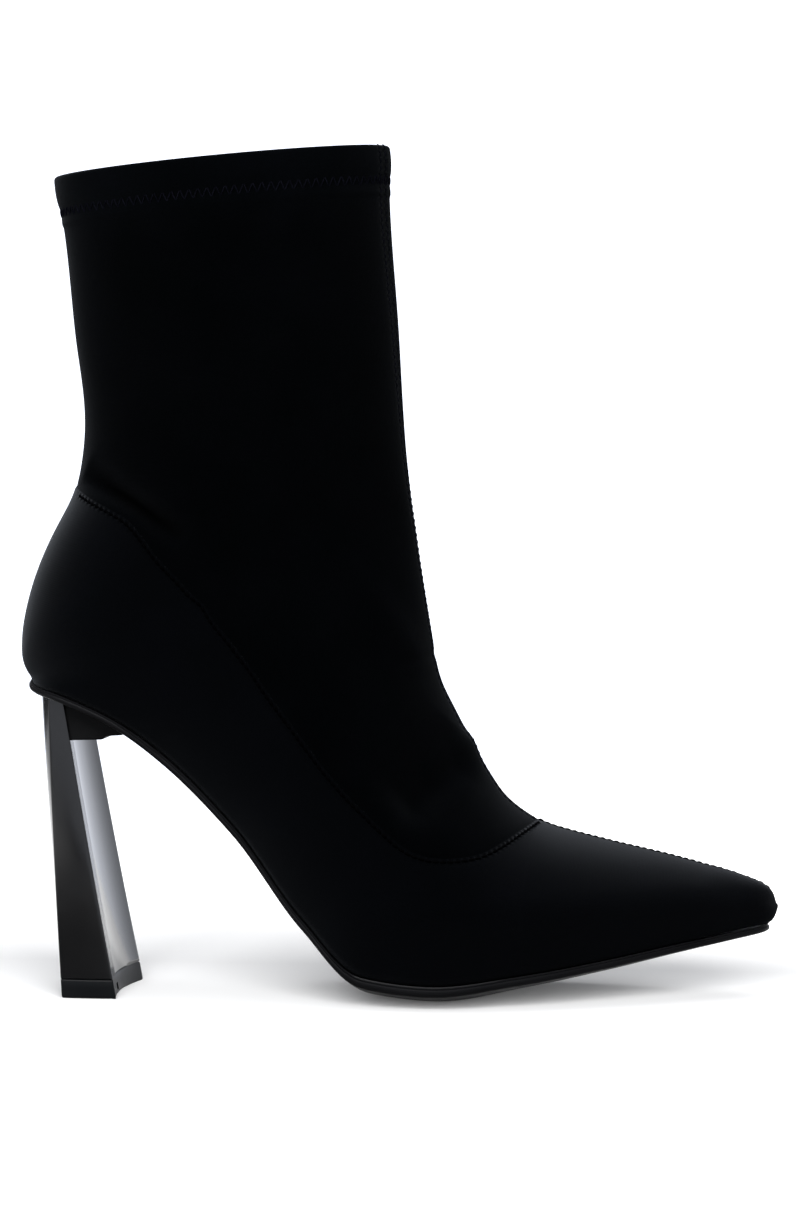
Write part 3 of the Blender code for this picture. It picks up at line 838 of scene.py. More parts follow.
def make_outsole(material):
    """Thin sole from toe to seat, with a groove between its two layers."""
    section = sole_sections(0.0, SOLE_STEP)
    thick = sole_thick(section)[:, None]
    layers = []
    for margin, share in SOLE_SIDE:
        x, y, place = across_grid(section, margin, SOLE_COLUMNS)
        layers.append(np.stack([x, y, sole_under(section, place) + share * thick], axis=-1))
    return layered_solid("sole_unit", [(layers, True, grid_pairs(x, y), {})], [material])


# The insole's edge: inset from its outline and height over its underside
INSOLE_SIDE = ((0.5, 0.0), (0.0, 0.5), (0.0, 1.6), (0.25, 2.1), (0.9, 2.4))
INSOLE_COLUMNS = 24
INSOLE_STEP = 1.8


def make_insole(material):
    """Sock of the foot bed, with a rounded edge."""
    section = sole_sections(INSOLE_START, INSOLE_STEP)[1:]
    narrow = np.sqrt(np.clip((section - INSOLE_START) / INSOLE_ROUND, 0, 1))
    foot = foot_width(section)
    layers = []
    for inset, rise in INSOLE_SIDE:
        x, y, place = across_grid(section, -INSOLE_INSET - inset, INSOLE_COLUMNS, narrow)
        place = place * (narrow * np.maximum(foot - INSOLE_INSET - inset, 0) / (foot + SOLE_MARGIN))[:, None]
        under = sole_under(section, place) + sole_thick(section)[:, None] + INSOLE_GAP
        layers.append(np.stack([x, y, under + rise], axis=-1))
    return layered_solid("insole_sock", [(layers, True, grid_pairs(x, y), {})], [material])


WAIST = 8
SEAT_POINTS = 200


def seat_under(x):
    """Height of the sole's underside from the waist back, at a place along the boot."""
    section = np.linspace(WAIST, SEAT_END, SEAT_POINTS)
    under = sole_under(section, np.ones((SEAT_POINTS, 1)))[:, 0]
    return np.interp(-np.asarray(x), -profile("low_x", section), under)


def heel_back(z, across):
    rise = np.clip(z / SEAT_HEIGHT, 0, 1)
    corner = HEEL_BACK_FLOOR + (HEEL_BACK_TOP - HEEL_BACK_FLOOR) * (1 - (1 - rise) ** HEEL_BACK_EASE)
    bulge = HEEL_BULGE_FLOOR + (HEEL_BULGE_TOP - HEEL_BULGE_FLOOR) * rise
    return corner - bulge * (1 - across ** 2)


def heel_breast(z, across):
    return HEEL_FRONT_FLOOR - HEEL_FRONT_LEAN * z - BREAST_HOLLOW * (1 - across ** 2)


def heel_half(z):
    return (HEEL_WIDE_FLOOR + (HEEL_WIDE_TOP - HEEL_WIDE_FLOOR) * z / SEAT_HEIGHT) / 2


NOTCH_AT = -0.37           # notch in the front of the top piece: places across the heel, heights and depth
NOTCH_HALF = 0.075
NOTCH_LOW = 0.9
NOTCH_HIGH = 3.1
NOTCH_DEEP = 1.6
NOTCH_EDGE = 0.002         # how sharply it is cut, across the heel and in height
NOTCH_STEP = 0.05
HEEL_EDGE = 0.45           # rounding of the heel's long edges
EDGE_STEPS = 5
SIDE_BULGE = 0.2           # the heel's sides are very slightly full
SIDE_PLACES = np.linspace(0.12, 0.88, 7)
ACROSS = np.linspace(-0.94, 0.94, 19)


def rounded(before, corner, after):
    """Points of a small round at a corner."""
    corner = np.asarray(corner, float)
    start = corner + HEEL_EDGE * unit(np.asarray(before, float) - corner)
    end = corner + HEEL_EDGE * unit(np.asarray(after, float) - corner)
    s = np.linspace(0, 1, EDGE_STEPS)[:, None]
    return list((1 - s) ** 2 * start + 2 * s * (1 - s) * corner + s * s * end)


def full_side(start, end):
    """Points between two corners of the heel's plan, a little outside the straight line."""
    x = start[0] + SIDE_PLACES * (end[0] - start[0])
    return list(zip(x, start[1] + np.sign(start[1]) * SIDE_BULGE * (1 - (2 * SIDE_PLACES - 1) ** 2)))


def heel_outline(z, across=ACROSS, notch=0.0):
    """Plan of the heel at a height: flat sides, round back, hollow breast and small rounds between."""
    half = heel_half(z)
    back = [(heel_back(z, a), a * half) for a in ACROSS]
    cut = notch * (np.abs(across - NOTCH_AT) < NOTCH_HALF)
    breast = [(heel_breast(z, a) - c, a * half) for a, c in zip(across[::-1], cut[::-1])]
    corners = [(heel_breast(z, 1.0), -half), (heel_back(z, 1.0), -half),
               (heel_back(z, 1.0), half), (heel_breast(z, 1.0), half)]
    outer = full_side(corners[0], corners[1])
    inner = full_side(corners[2], corners[3])
    outline = rounded(breast[-1], corners[0], outer[0]) + outer + rounded(outer[-1], corners[1], back[0])
    outline += back
    outline += rounded(back[-1], corners[2], inner[0]) + inner + rounded(inner[-1], corners[3], breast[0])
    return np.array(outline + breast)


def lofted(name, rings, material):
    """Closed solid through rings of equal point count, from the lowest to the highest."""
    count = len(rings[0])
    points = np.concatenate(rings)
    faces = [list(range(count)), list(range(len(points) - 1, len(points) - count - 1, -1))]
    for here in range(0, len(points) - count, count):
        there = here + count
        for i in range(count):
            j = (i + 1) % count
            faces.append([here + j, here + i, there + i, there + j])
    return finished(add_object(name, points, faces, [material]), SHARP_LOFTED)


def drawn_in(outline, by):
    """Outline moved inwards a little, towards its middle."""
    middle = outline.mean(axis=0)
    away = outline - middle
    return middle + away * (1 - by / np.maximum(np.linalg.norm(away, axis=1, keepdims=True), 1.0))


PARTING = 0.3              # bevel at the line between heel and top piece
HEEL_TOP = SEAT_HEIGHT - 2.6
HEEL_SHARES = (0.0, 0.0035, *np.linspace(0.012, 1, 40))   # shares of its height from that line up


def make_heel(material):
    """Slim column with a rounded back, flat sides and a hollow breast."""
    foot = TIP_HEIGHT + CLEARANCE / 2
    rings = []
    for share in HEEL_SHARES:
        outline = heel_outline(foot + share * (HEEL_TOP - foot))
        if share == 0:
            outline = drawn_in(outline, PARTING)
        top = seat_under(outline[:, 0]) - CLEARANCE / 2
        rings.append(np.column_stack([outline, foot + share * (top - foot)]))
    return lofted("heel_column", rings, material)


# The top piece from the floor up: drawn in by, and height
TIP_SIDE = (
    (0.7, 0.0),
    (0.2, 0.25),
    (0.0, 0.8),
    (0.0, TIP_HEIGHT - 0.45),
    (0.1, TIP_HEIGHT - 0.2),
    (0.35, TIP_HEIGHT),
)


def make_heel_tip(material):
    """Top piece under the heel, flat on the floor."""
    edges = [NOTCH_AT + side * (NOTCH_HALF + off) for side in SIDES for off in (-NOTCH_EDGE, NOTCH_EDGE)]
    across = np.sort(np.concatenate([ACROSS, edges]))
    levels = [(inset, z, 0.0) for inset, z in TIP_SIDE]
    levels += [(0.0, NOTCH_LOW, 0.0), (0.0, NOTCH_LOW + NOTCH_STEP, NOTCH_DEEP)]
    levels += [(0.0, NOTCH_HIGH - NOTCH_STEP, NOTCH_DEEP), (0.0, NOTCH_HIGH, 0.0)]
    rings = []
    for inset, z, notch in sorted(levels, key=lambda level: level[1]):
        outline = drawn_in(heel_outline(z, across, notch), inset)
        rings.append(np.column_stack([outline, np.full(len(outline), z)]))
    return lofted("heel_top_piece", rings, material)


WEDGE_INSET = 1.3
WEDGE_BEVEL = 0.5
WEDGE_BEVEL_FROM = 35      # edges bent further than this, in degrees, are rounded
WEDGE_BURIED = 3.0         # it reaches this far into the heel
WEDGE_FALL = 0.3           # slope of its underside
WEDGE_POINTS = 9


def make_wedge(material):
    """Covered wedge between the breast of the heel and the arch."""
    back = heel_breast(LIP_UNDER, 1.0) - WEDGE_BURIED
    side = [(x, seat_under(x) - CLEARANCE / 2) for x in np.linspace(back, LIP_NOSE_X, WEDGE_POINTS)]
    side += [(LIP_NOSE_X, LIP_NOSE_Z), (LIP_CORNER_X + LIP_CHAMFER, LIP_NOSE_Z - WEDGE_FALL)]
    side += [(LIP_CORNER_X, LIP_UNDER), (back, LIP_UNDER - WEDGE_FALL)]
    half = heel_half(LIP_UNDER) - WEDGE_INSET
    places = np.linspace(-1, 1, WEDGE_POINTS)
    rings = [np.array([(x, across * half, z) for x, z in side]) for across in places]
    piece = lofted("heel_wedge", rings, material)
    bevel = piece.modifiers.new("edges", "BEVEL")
    bevel.width = WEDGE_BEVEL * MM
    bevel.segments = 3
    bevel.limit_method = "ANGLE"
    bevel.angle_limit = np.radians(WEDGE_BEVEL_FROM)
    return settled(piece)


def settled(piece):
    """The piece as a plain mesh, with its modifiers made real."""
    graph = bpy.context.evaluated_depsgraph_get()
    mesh = bpy.data.meshes.new_from_object(piece.evaluated_get(graph))
    piece.modifiers.clear()
    piece.data = mesh
    return piece


class Wiring:
    """Nodes of one tree, joined by the names of their sockets."""

    def __init__(self, tree):
        self.tree = tree

    def fill(self, sockets, values):
        """Gives each named socket a value of its own or a link from another socket."""
        for label, value in values.items():
            if isinstance(value, bpy.types.NodeSocket):
                self.tree.links.new(value, sockets[label])
            else:
                sockets[label].default_value = value

    def node(self, kind, inputs=None, **settings):
        made = self.tree.nodes.new(kind)
        for key, value in settings.items():
            setattr(made, key, value)
        self.fill(made.inputs, inputs or {})
        return made

    def group(self, tree, **inputs):
        return self.node("ShaderNodeGroup", inputs, node_tree=tree).outputs

    def math(self, operation, first, second=0.0):
        return self.node("ShaderNodeMath", {0: first, 1: second}, operation=operation).outputs[0]

    def product(self, first, *others):
        for other in others:
            first = self.math("MULTIPLY", first, other)
        return first

    def ramp(self, source, low, high, start=0.0, end=1.0):
        """Value from low to high as source goes from start to end."""
        inputs = {"Value": source, "From Min": start, "From Max": end, "To Min": low, "To Max": high}
        return self.node("ShaderNodeMapRange", inputs).outputs["Result"]

    def about(self, source, middle, spread):
        """Value that strays from a middle by up to a spread, after an uneven value."""
        return self.ramp(source, middle - spread, middle + spread, *UNEVEN)

    def tint(self, source, dark, light):
        """Colour between dark and light, after an uneven value."""
        inputs = {0: self.ramp(source, 0.0, 1.0, *UNEVEN), 6: (*dark, 1.0), 7: (*light, 1.0)}
        return self.node("ShaderNodeMix", inputs, data_type="RGBA").outputs[2]

    def bump(self, *parts):
        """Relief from heights, each with its size in mm."""
        total = 0.0
        for source, size in parts:
            total = self.math("ADD", self.product(source, size), total)
        inputs = {"Strength": 1.0, "Distance": MM, "Height": total}
        return self.node("ShaderNodeBump", inputs).outputs["Normal"]

    def places(self, output):
        """X and Y of a texture coordinate, and the whole of it."""
        whole = self.node("ShaderNodeTexCoord").outputs[output]
        parts = self.node("ShaderNodeSeparateXYZ", {0: whole}).outputs
        return parts["X"], parts["Y"], whole


def open_sockets(tree, kind, inputs, outputs):
    """Named sockets of one kind on the two sides of a group."""
    for way, labels in (("INPUT", inputs), ("OUTPUT", outputs)):
        for label in labels:
            tree.interface.new_socket(label, in_out=way, socket_type=kind)


THREAD_STEPS = 6           # corners along a stitch and round its thread


def stitch_tree(name, material):
    """Geometry nodes: a bowed thread on every point, laid along one vector and facing another."""
    tree = bpy.data.node_groups.new(name, "GeometryNodeTree")
    open_sockets(tree, "NodeSocketGeometry", ("Geometry",), ("Geometry",))
    open_sockets(tree, "NodeSocketFloat", ("Length", "Thickness", "Bow"), ())
    wires = Wiring(tree)
    start = wires.node("NodeGroupInput").outputs

    def vector(label):
        read = wires.node("GeometryNodeInputNamedAttribute", {"Name": label}, data_type="FLOAT_VECTOR")
        return read.outputs["Attribute"]

    def corner(ahead, high):
        x = wires.product(start["Length"], ahead)
        z = wires.product(start["Bow"], high)
        return wires.node("ShaderNodeCombineXYZ", {"X": x, "Z": z}).outputs[0]

    thread = wires.node("GeometryNodeCurveQuadraticBezier", {
        "Resolution": THREAD_STEPS,
        "Start": corner(-0.5, -1.0),
        "Middle": corner(0.0, 2.0),
        "End": corner(0.5, -1.0),
    })
    radius = wires.product(start["Thickness"], 0.5)
    ring = wires.node("GeometryNodeCurvePrimitiveCircle", {"Resolution": THREAD_STEPS, "Radius": radius},
                      mode="RADIUS")
    sweep = wires.node("GeometryNodeCurveToMesh", {
        "Curve": thread.outputs["Curve"],
        "Profile Curve": ring.outputs["Curve"],
        "Fill Caps": True,
    })
    lay = wires.node("FunctionNodeAlignRotationToVector", {"Vector": vector("lay")}, axis="X")
    turn = wires.node("FunctionNodeAlignRotationToVector",
                      {"Rotation": lay.outputs[0], "Vector": vector("out")}, axis="Z", pivot_axis="X")
    spread = wires.node("GeometryNodeInstanceOnPoints", {
        "Points": start["Geometry"],
        "Instance": sweep.outputs["Mesh"],
        "Rotation": turn.outputs[0],
    })
    real = wires.node("GeometryNodeRealizeInstances", {"Geometry": spread.outputs["Instances"]})
    soft = wires.node("GeometryNodeSetShadeSmooth", {"Geometry": real.outputs["Geometry"]})
    inputs = {"Geometry": soft.outputs["Geometry"], "Material": material}
    paint = wires.node("GeometryNodeSetMaterial", inputs)
    wires.node("NodeGroupOutput", {"Geometry": paint.outputs["Geometry"]})
    return tree


THREAD_LIFT = 0.05         # the middle of the thread, over the cloth
ZIGZAG_LIFT = 0.1


def seated(points, cloth):
    """Points moved onto a cloth piece's surface, and its normals there."""
    mesh = cloth.data
    tree = KDTree(len(mesh.vertices))
    for vertex in mesh.vertices:
        tree.insert(vertex.co, vertex.index)
    tree.balance()
    places, normals = [], []
    for p in points:
        _, index, _ = tree.find(Vector(p) * MM)
        vertex = mesh.vertices[index]
        normal = np.array(vertex.normal)
        place = np.array(vertex.co) / MM
        places.append(p - normal * ((p - place) @ normal))
        normals.append(normal)
    return np.array(places), np.array(normals)


def make_stitches(name, tree, rows, cloth, length, thickness, lift=THREAD_LIFT):
    """Thread pieces of stitch rows, each row being points and the way that every stitch lies."""
    points = np.concatenate([row[0] for row in rows])
    ways = np.concatenate([row[1] for row in rows])
    places, normals = seated(points, cloth)
    ways = unit(ways - normals * np.sum(ways * normals, axis=1, keepdims=True))
    mesh = bpy.data.meshes.new(name)
    mesh.from_pydata(((places + lift * normals) * MM).tolist(), [], [])
    for key, values in (("lay", ways), ("out", normals)):
        attribute = mesh.attributes.new(key, "FLOAT_VECTOR", "POINT")
        attribute.data.foreach_set("vector", values.astype(np.float32).ravel())
    piece = in_scene(name, mesh)
    modifier = piece.modifiers.new("stitches", "NODES")
    modifier.node_group = tree
    sizes = {"Length": length, "Thickness": thickness, "Bow": STITCH_BOW}
    for item in tree.interface.items_tree:
        if item.in_out == "INPUT" and item.name in sizes:
            modifier[item.identifier] = sizes[item.name] * MM
    return settled(piece)


def stitch_row(line):
    """Middles of the stitches of a row along a line, and their ways."""
    points = even_points(line, STITCH_PITCH, STITCH_PITCH / 2)
    return points, np.gradient(points, axis=0)


def zigzag_row():
    """Legs of the zigzag in the hem."""
    line = even_points(hem_line(HEM_LINE), ZIGZAG_LEG, ZIGZAG_LEG / 2)
    ahead = unit(np.gradient(line, axis=0))
    up = np.array([0.0, 0.0, 1.0]) * np.where(np.arange(len(line)) % 2, 1.0, -1.0)[:, None]
    return line, ahead * ZIGZAG_LEG + up * ZIGZAG_HIGH


# Surfaces
UNEVEN = (0.3, 0.7)        # where most of a noise lies
KNIT_HIGH = 0.02
FUZZ_HIGH = 0.015
CLOTH_SPREAD = 0.06        # unevenness of the cloth's roughness
SHEEN_ROUGH = 0.5
SHEEN_TINT = (0.62, 0.66, 0.72, 1.0)
THREAD_ROUGH = 0.6
THREAD_SPREAD = 0.1
THREAD_GRAIN = 0.02
THREAD_GLOSS = 0.003

Cloth = namedtuple("Cloth", "name dark light rough sheen gloss")
CLOTHS = (
    Cloth("scuba_upper", (0.0002, 0.0003, 0.0005), (0.0003, 0.0004, 0.0007), 0.8, 0.048, 0.0),
    Cloth("scuba_shaft", (0.0002, 0.0003, 0.0004), (0.0004, 0.0005, 0.0007), 0.8, 0.017, 0.0),
    Cloth("lining_jersey", (0.004, 0.004, 0.0045), (0.006, 0.006, 0.0065), 0.9, 0.02, 0.1),
    Cloth("sock_lining", (0.006, 0.006, 0.0065), (0.009, 0.009, 0.0095), 0.8, 0.02, 0.2),
)
Thread = namedtuple("Thread", "name dark light")
THREADS = (
    Thread("black_thread", (0.0001, 0.0001, 0.0002), (0.0003, 0.0003, 0.0004)),
    Thread("blue_black_thread", (0.001, 0.0011, 0.002), (0.0026, 0.0027, 0.0045)),
)
Moulded = namedtuple("Moulded", "name dark light rough spread grain gloss")
MOULDED = (
    Moulded("sole_satin", (0.002, 0.002, 0.0024), (0.003, 0.003, 0.0035), 0.45, 0.06, 0.008, 0.08),
    Moulded("heel_lacquer", (0.002, 0.002, 0.0022), (0.003, 0.003, 0.0032), 0.1, 0.03, 0.0005, 0.5),
    Moulded("wedge_cover", (0.002, 0.002, 0.0023), (0.004, 0.004, 0.0042), 0.5, 0.08, 0.01, 0.07),
    Moulded("top_piece_rubber", (0.002, 0.0024, 0.003), (0.003, 0.0035, 0.004), 0.4, 0.06, 0.006, 0.08),
)


def shader_group(name, inputs, outputs):
    group = bpy.data.node_groups.new(name, "ShaderNodeTree")
    open_sockets(group, "NodeSocketFloat", inputs, outputs)
    wires = Wiring(group)
    return wires, wires.node("NodeGroupInput").outputs, wires.node("NodeGroupOutput").inputs


def knit_group():
    """Fine jersey face: columns of stitches across and along the cloth, a little uneven."""
    wires, start, end = shader_group("jersey_knit", ("Wales", "Courses"), ("Height",))
    place = wires.node("ShaderNodeUVMap", uv_map="cloth").outputs["UV"]
    waves = []
    for direction, label in (("X", "Wales"), ("Y", "Courses")):
        inputs = {"Vector": place, "Scale": start[label]}
        inputs |= {"Distortion": 0.6, "Detail": 1.0, "Detail Scale": 0.4}
        waves.append(wires.node("ShaderNodeTexWave", inputs, bands_direction=direction).outputs["Fac"])
    wires.fill(end, {"Height": wires.product(*waves)})
    return wires.tree


def mottle_group():
    """Slow and fine unevenness over a surface, around one half."""
    wires, start, end = shader_group("uneven", ("Slow", "Fine"), ("Slow", "Fine"))
    place = wires.node("ShaderNodeTexCoord").outputs["Object"]
    for label, detail in (("Slow", 3.0), ("Fine", 2.0)):
        noise = wires.node("ShaderNodeTexNoise", {"Vector": place, "Scale": start[label], "Detail": detail})
        wires.fill(end, {label: noise.outputs["Fac"]})
    return wires.tree


def bead_group():
    """Beads of cloth between the stitches of a row and dents under them, from the places beside the rows; the
    dents also darken the colour as painted shade.
    """
    wires, start, end = shader_group("stitch_beads", ("Pitch", "Width"), ("Height", "Painted_Shade"))
    gap = wires.node("ShaderNodeAttribute", attribute_name="row_gap").outputs["Fac"]
    run = wires.node("ShaderNodeAttribute", attribute_name="row_run").outputs["Fac"]
    share = wires.math("DIVIDE", gap, start["Width"])
    near = wires.math("EXPONENT", wires.product(share, share, -1.0))
    wave = wires.math("COSINE", wires.math("DIVIDE", wires.product(run, 2 * np.pi), start["Pitch"]))
    low = wires.product(wires.math("SUBTRACT", 1.0, wave), 0.5)
    wires.fill(end, {"Height": wires.product(near, wave), "Painted_Shade": wires.product(near, low)})
    return wires.tree


BEADS = bead_group()
KNIT = knit_group()
MOTTLE = mottle_group()


def new_material(name):
    material = bpy.data.materials.new(name)
    material.use_nodes = True
    wires = Wiring(material.node_tree)
    return material, wires, wires.tree.nodes["Principled BSDF"].inputs


def cloth_material(cloth):
    """Matte scuba cloth with a fine knit face and a soft bloom at glancing angles."""
    material, wires, shader = new_material(cloth.name)
    uneven = wires.group(MOTTLE, Slow=45.0, Fine=2200.0)
    knit = wires.group(KNIT, Wales=62.0, Courses=74.0)
    beads = wires.group(BEADS, Pitch=STITCH_PITCH, Width=BEAD_WIDE)
    # painted shade: the dents under the stitches darken the colour
    shade = wires.math("SUBTRACT", uneven["Slow"], beads["Painted_Shade"])
    # painted light and shade: the colour is scaled up on the hem band and down in the fold
    painted_light_shade = wires.node("ShaderNodeAttribute", attribute_name="painted_light_shade").outputs["Fac"]
    inputs = {0: wires.tint(shade, cloth.dark, cloth.light), "Scale": wires.math("ADD", painted_light_shade, 1.0)}
    wires.fill(shader, {
        "Base Color": wires.node("ShaderNodeVectorMath", inputs, operation="SCALE").outputs[0],
        "Roughness": wires.about(uneven["Fine"], cloth.rough, CLOTH_SPREAD),
        "Normal": wires.bump((knit["Height"], KNIT_HIGH), (uneven["Fine"], FUZZ_HIGH),
                             (beads["Height"], BEAD)),
        "Specular IOR Level": cloth.gloss,
        "Sheen Weight": cloth.sheen,
        "Sheen Roughness": SHEEN_ROUGH,
        "Sheen Tint": SHEEN_TINT,
    })
    return material


def thread_material(thread):
    """Twisted sewing thread."""
    material, wires, shader = new_material(thread.name)
    uneven = wires.group(MOTTLE, Slow=400.0, Fine=5000.0)
    wires.fill(shader, {
        "Base Color": wires.tint(uneven["Slow"], thread.dark, thread.light),
        "Roughness": wires.about(uneven["Fine"], THREAD_ROUGH, THREAD_SPREAD),
        "Normal": wires.bump((uneven["Fine"], THREAD_GRAIN)),
        "Specular IOR Level": THREAD_GLOSS,
    })
    return material


def moulded_material(piece):
    """Moulded rubber or plastic: slow shifts of gloss and a fine grain."""
    material, wires, shader = new_material(piece.name)
    uneven = wires.group(MOTTLE, Slow=60.0, Fine=1500.0)
    wires.fill(shader, {
        "Base Color": wires.tint(uneven["Slow"], piece.dark, piece.light),
        "Roughness": wires.about(uneven["Slow"], piece.rough, piece.spread),
        "Normal": wires.bump((uneven["Fine"], piece.grain)),
        "Specular IOR Level": piece.gloss,
    })
    return material


def make_surfaces():
    """All the materials of the boot, by name."""
    made = [cloth_material(row) for row in CLOTHS]
    made += [thread_material(row) for row in THREADS]
    made += [moulded_material(row) for row in MOULDED]
    return {material.name: material for material in made}


FLOOR_WIDE = 1500.0
FLOOR_FRONT = 1500.0
FLOOR_BACK = 700.0
FLOOR_Z = -0.05
FLOOR_ROUGH = 0.9
FLOOR_GLOW = 0.06          # keeps the floor white and its shadows pale in the picture
FLOOR_WHITE = 0.8
FLOOR_DIM = 0.07           # its brightness in the heel's gloss, from in front of the boot

# Where the floor changes, in metres: it glows behind the boot and far from it, is dark in gloss to the left,
# and dims in gloss in front of the boot and to the right
GLOW_BEHIND = (0.05, 0.25)
GLOW_FAR = (0.35, 0.7)
DARK_LEFT = (-0.5, -0.25)
DIM_FRONT = (-0.05, 0.0)
DIM_RIGHT = (-0.6, -0.25)


def make_floor():
    """White floor that glows where the camera sees it, paling its shadows, and whose brightness in the heel's
    gloss is painted by place.
    """
    material, wires, shader = new_material("studio_floor")
    path = wires.node("ShaderNodeLightPath").outputs
    x, y, place = wires.places("Object")
    distance = wires.node("ShaderNodeVectorMath", {0: place}, operation="LENGTH").outputs["Value"]
    behind = wires.ramp(y, 0.0, 1.0, *GLOW_BEHIND)
    far = wires.ramp(distance, FLOOR_GLOW, 1.0, *GLOW_FAR)
    seen = wires.product(path["Is Camera Ray"], wires.math("MAXIMUM", behind, far))
    gloss = wires.product(path["Is Glossy Ray"], behind, wires.ramp(x, 0.0, 1.0, *DARK_LEFT))
    dim = wires.product(wires.ramp(y, 1.0, 0.0, *DIM_FRONT), wires.ramp(x, 0.0, 1.0, *DIM_RIGHT),
                        path["Is Glossy Ray"])
    wires.fill(shader, {
        "Base Color": wires.ramp(dim, FLOOR_WHITE, FLOOR_DIM),
        "Roughness": FLOOR_ROUGH,
        "Specular IOR Level": 0.0,
        "Emission Color": (1.0, 1.0, 1.0, 1.0),
        "Emission Strength": wires.math("MAXIMUM", seen, gloss),
    })
    corners = [(-FLOOR_WIDE, -FLOOR_FRONT), (FLOOR_WIDE, -FLOOR_FRONT), (FLOOR_WIDE, FLOOR_BACK),
               (-FLOOR_WIDE, FLOOR_BACK)]
    piece = add_object("floor", [(x, y, FLOOR_Z) for x, y in corners], [[0, 1, 2, 3]], [material])
    return piece


CAMERA_AT = (158.2, -1189.7, 177.0)
CAMERA_TARGET = (1.6, 0.0, 117.65)
FRAME_HIGH = 362.7         # height of the picture at the target
SENSOR = 36.0
CLIP_START = 10.0


def aimed(thing, place, target):
    thing.location = Vector(place) * MM
    thing.rotation_euler = (Vector(target) - Vector(place)).to_track_quat("-Z", "Y").to_euler()


def make_camera():
    data = bpy.data.cameras.new("camera")
    data.sensor_fit = "VERTICAL"
    data.sensor_height = SENSOR
    distance = (Vector(CAMERA_AT) - Vector(CAMERA_TARGET)).length
    data.lens = SENSOR * distance / FRAME_HIGH
    data.clip_start = CLIP_START * MM
    camera = in_scene("camera", data)
    aimed(camera, CAMERA_AT, CAMERA_TARGET)
    bpy.context.scene.camera = camera


# Softboxes: each lights the boot alone or the floor alone, and shows in gloss or not
Softbox = namedtuple("Softbox", "name place wide high power floor_only in_gloss")
SOFTBOXES = (
    Softbox("rim", (-500.0, 950.0, 1000.0), 1000.0, 700.0, 125.0, False, False),
    Softbox("behind_left", (-900.0, 700.0, 500.0), 500.0, 1200.0, 14.0, False, False),
    Softbox("overhead", (60.0, 350.0, 1300.0), 1800.0, 1200.0, 40.0, False, True),
    Softbox("key", (-250.0, -750.0, 1000.0), 1000.0, 700.0, 27.0, False, True),
    Softbox("floor_front", (150.0, -1000.0, 400.0), 900.0, 500.0, 33.0, True, False),
    Softbox("floor_top", (-60.0, 0.0, 1300.0), 1600.0, 1600.0, 9.0, True, False),
)
LIGHT_TARGET = (0.0, 0.0, 100.0)
WORLD_COLOUR = (0.94, 0.98, 1.08, 1.0)
WORLD_SEEN = 1.6           # brightness of the surroundings in the picture and in the gloss
WORLD_FRONT = 1.0          # their brightness in gloss that faces the camera
WORLD_LEFT = 0.03          # share of that behind the boot to the left
WORLD_RIGHT = 0.5          # and to its right
WORLD_FILL = 0.2           # what they add to the soft light

# Ways in which the surroundings change, as parts of a direction
TO_BACK = (0.3, 0.95)
TO_LEFT = (-0.5, -0.2)
TO_FRONT = (-0.2, 0.2)
TO_RIGHT = (0.35, 0.65)


def world_strength(wires):
    """White in the picture, darker at the sides in gloss and dim as soft light."""
    path = wires.node("ShaderNodeLightPath").outputs
    x, y, _ = wires.places("Generated")
    left = wires.math("MAXIMUM", wires.ramp(x, WORLD_LEFT, 1.0, *TO_LEFT), wires.ramp(y, 1.0, 0.0, *TO_FRONT))
    right = wires.ramp(x, 1.0, WORLD_RIGHT, *TO_RIGHT)
    gloss = wires.product(wires.ramp(y, WORLD_FRONT, WORLD_SEEN, *TO_BACK), left, right)
    lit = wires.math("SUBTRACT", gloss, wires.product(path["Is Diffuse Ray"], WORLD_SEEN - WORLD_FILL))
    lit = wires.math("MAXIMUM", lit, wires.product(path["Is Diffuse Ray"], WORLD_FILL))
    return wires.math("MAXIMUM", lit, wires.product(path["Is Camera Ray"], WORLD_SEEN))


def floor_link(name, floor, state):
    """Collection that says whether a light reaches the floor."""
    link = bpy.data.collections.new(name)
    link.objects.link(floor)
    for item in link.collection_objects:
        item.light_linking.link_state = state
    return link


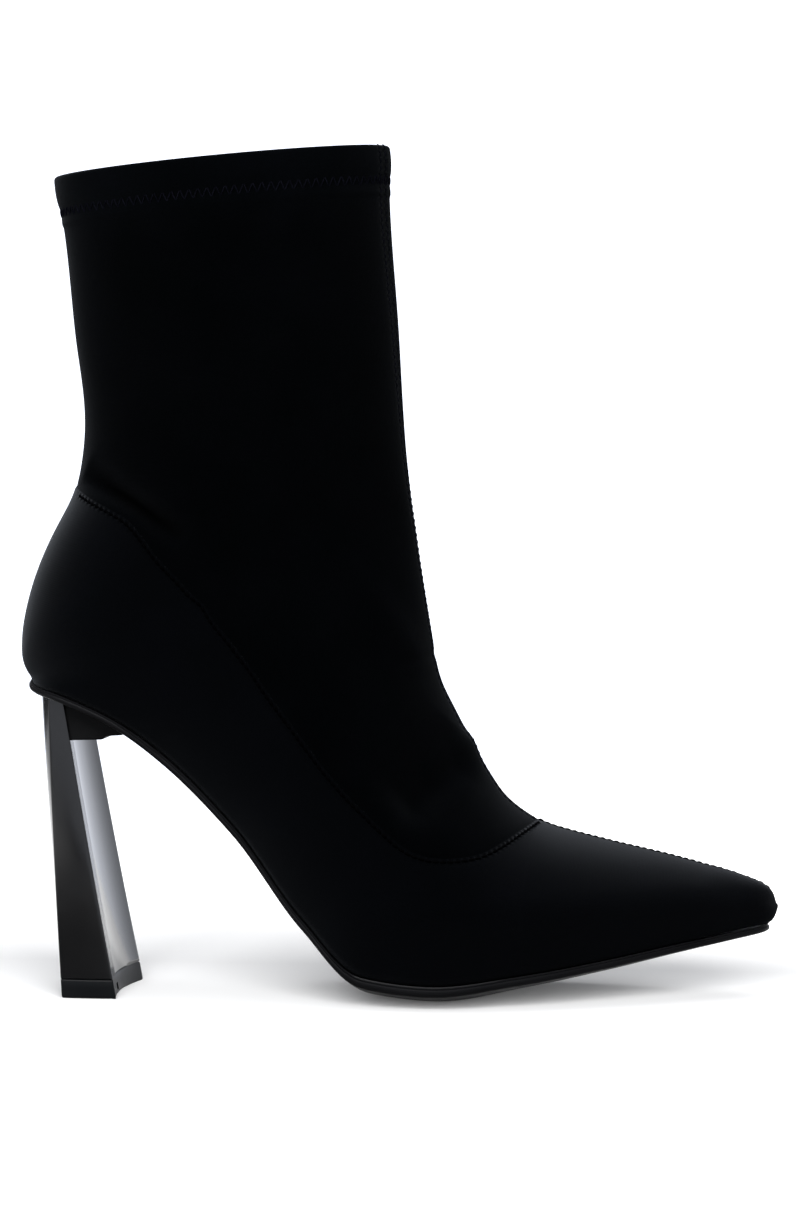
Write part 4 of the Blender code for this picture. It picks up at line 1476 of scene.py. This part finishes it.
def make_lights(floor):
    reach = {
        True: floor_link("floor_only", floor, "INCLUDE"),
        False: floor_link("off_the_floor", floor, "EXCLUDE"),
    }
    for box in SOFTBOXES:
        data = bpy.data.lights.new(box.name, "AREA")
        data.shape = "RECTANGLE"
        data.size = box.wide * MM
        data.size_y = box.high * MM
        data.energy = box.power
        light = in_scene(box.name, data)
        aimed(light, box.place, LIGHT_TARGET)
        light.visible_glossy = box.in_gloss
        light.light_linking.receiver_collection = reach[box.floor_only]
    world = bpy.data.worlds.new("studio")
    world.use_nodes = True
    wires = Wiring(world.node_tree)
    background = wires.tree.nodes["Background"].inputs
    wires.fill(background, {"Color": WORLD_COLOUR, "Strength": world_strength(wires)})
    bpy.context.scene.world = world
    bpy.context.scene.view_settings.view_transform = "Standard"


def fit(piece, slot, *nodes):
    """Ties a piece to the boot's body and the solids that it stands for; its slot, the finish, is not used.
    """
    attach(piece, "root")
    if nodes:
        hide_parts(*nodes)


def main():
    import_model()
    make_camera()
    make_lights(make_floor())

    surface = make_surfaces()
    upper = make_upper([surface["scuba_upper"], surface["lining_jersey"]])
    shaft = make_shaft([surface["scuba_shaft"], surface["lining_jersey"]])
    fit(upper, "neoprene_upper", "upper")
    fit(shaft, "neoprene_shaft", "shaft")
    fit(make_outsole(surface["sole_satin"]), "sole_rubber", "outsole")
    fit(make_insole(surface["sock_lining"]), "insole_cloth", "insole")
    fit(make_heel(surface["heel_lacquer"]), "heel_gloss", "heel")
    fit(make_wedge(surface["wedge_cover"]), "heel_gloss", "heel")
    fit(make_heel_tip(surface["top_piece_rubber"]), "tip_rubber", "heel_tip")

    seam_stitches = stitch_tree("seam_stitches", surface["black_thread"])
    hem_stitches = stitch_tree("hem_stitches", surface["blue_black_thread"])
    upper_rows = [stitch_row(line) for line in UPPER_ROWS]
    for name, rows in (("throat_stitches", upper_rows[:2]), ("ridge_stitches", upper_rows[2:])):
        fit(make_stitches(name, seam_stitches, rows, upper, STITCH_LONG, STITCH_THICK), "neoprene_upper")
    front_rows = [stitch_row(line) for line in SHAFT_ROWS]
    front = make_stitches("front_stitches", hem_stitches, front_rows, shaft, STITCH_LONG, HEM_THREAD)
    fit(front, "neoprene_shaft")
    leg = float(np.hypot(ZIGZAG_LEG, ZIGZAG_HIGH))
    hem = make_stitches("hem_zigzag", hem_stitches, [zigzag_row()], shaft, leg, HEM_THREAD, ZIGZAG_LIFT)
    fit(hem, "neoprene_shaft")


main()
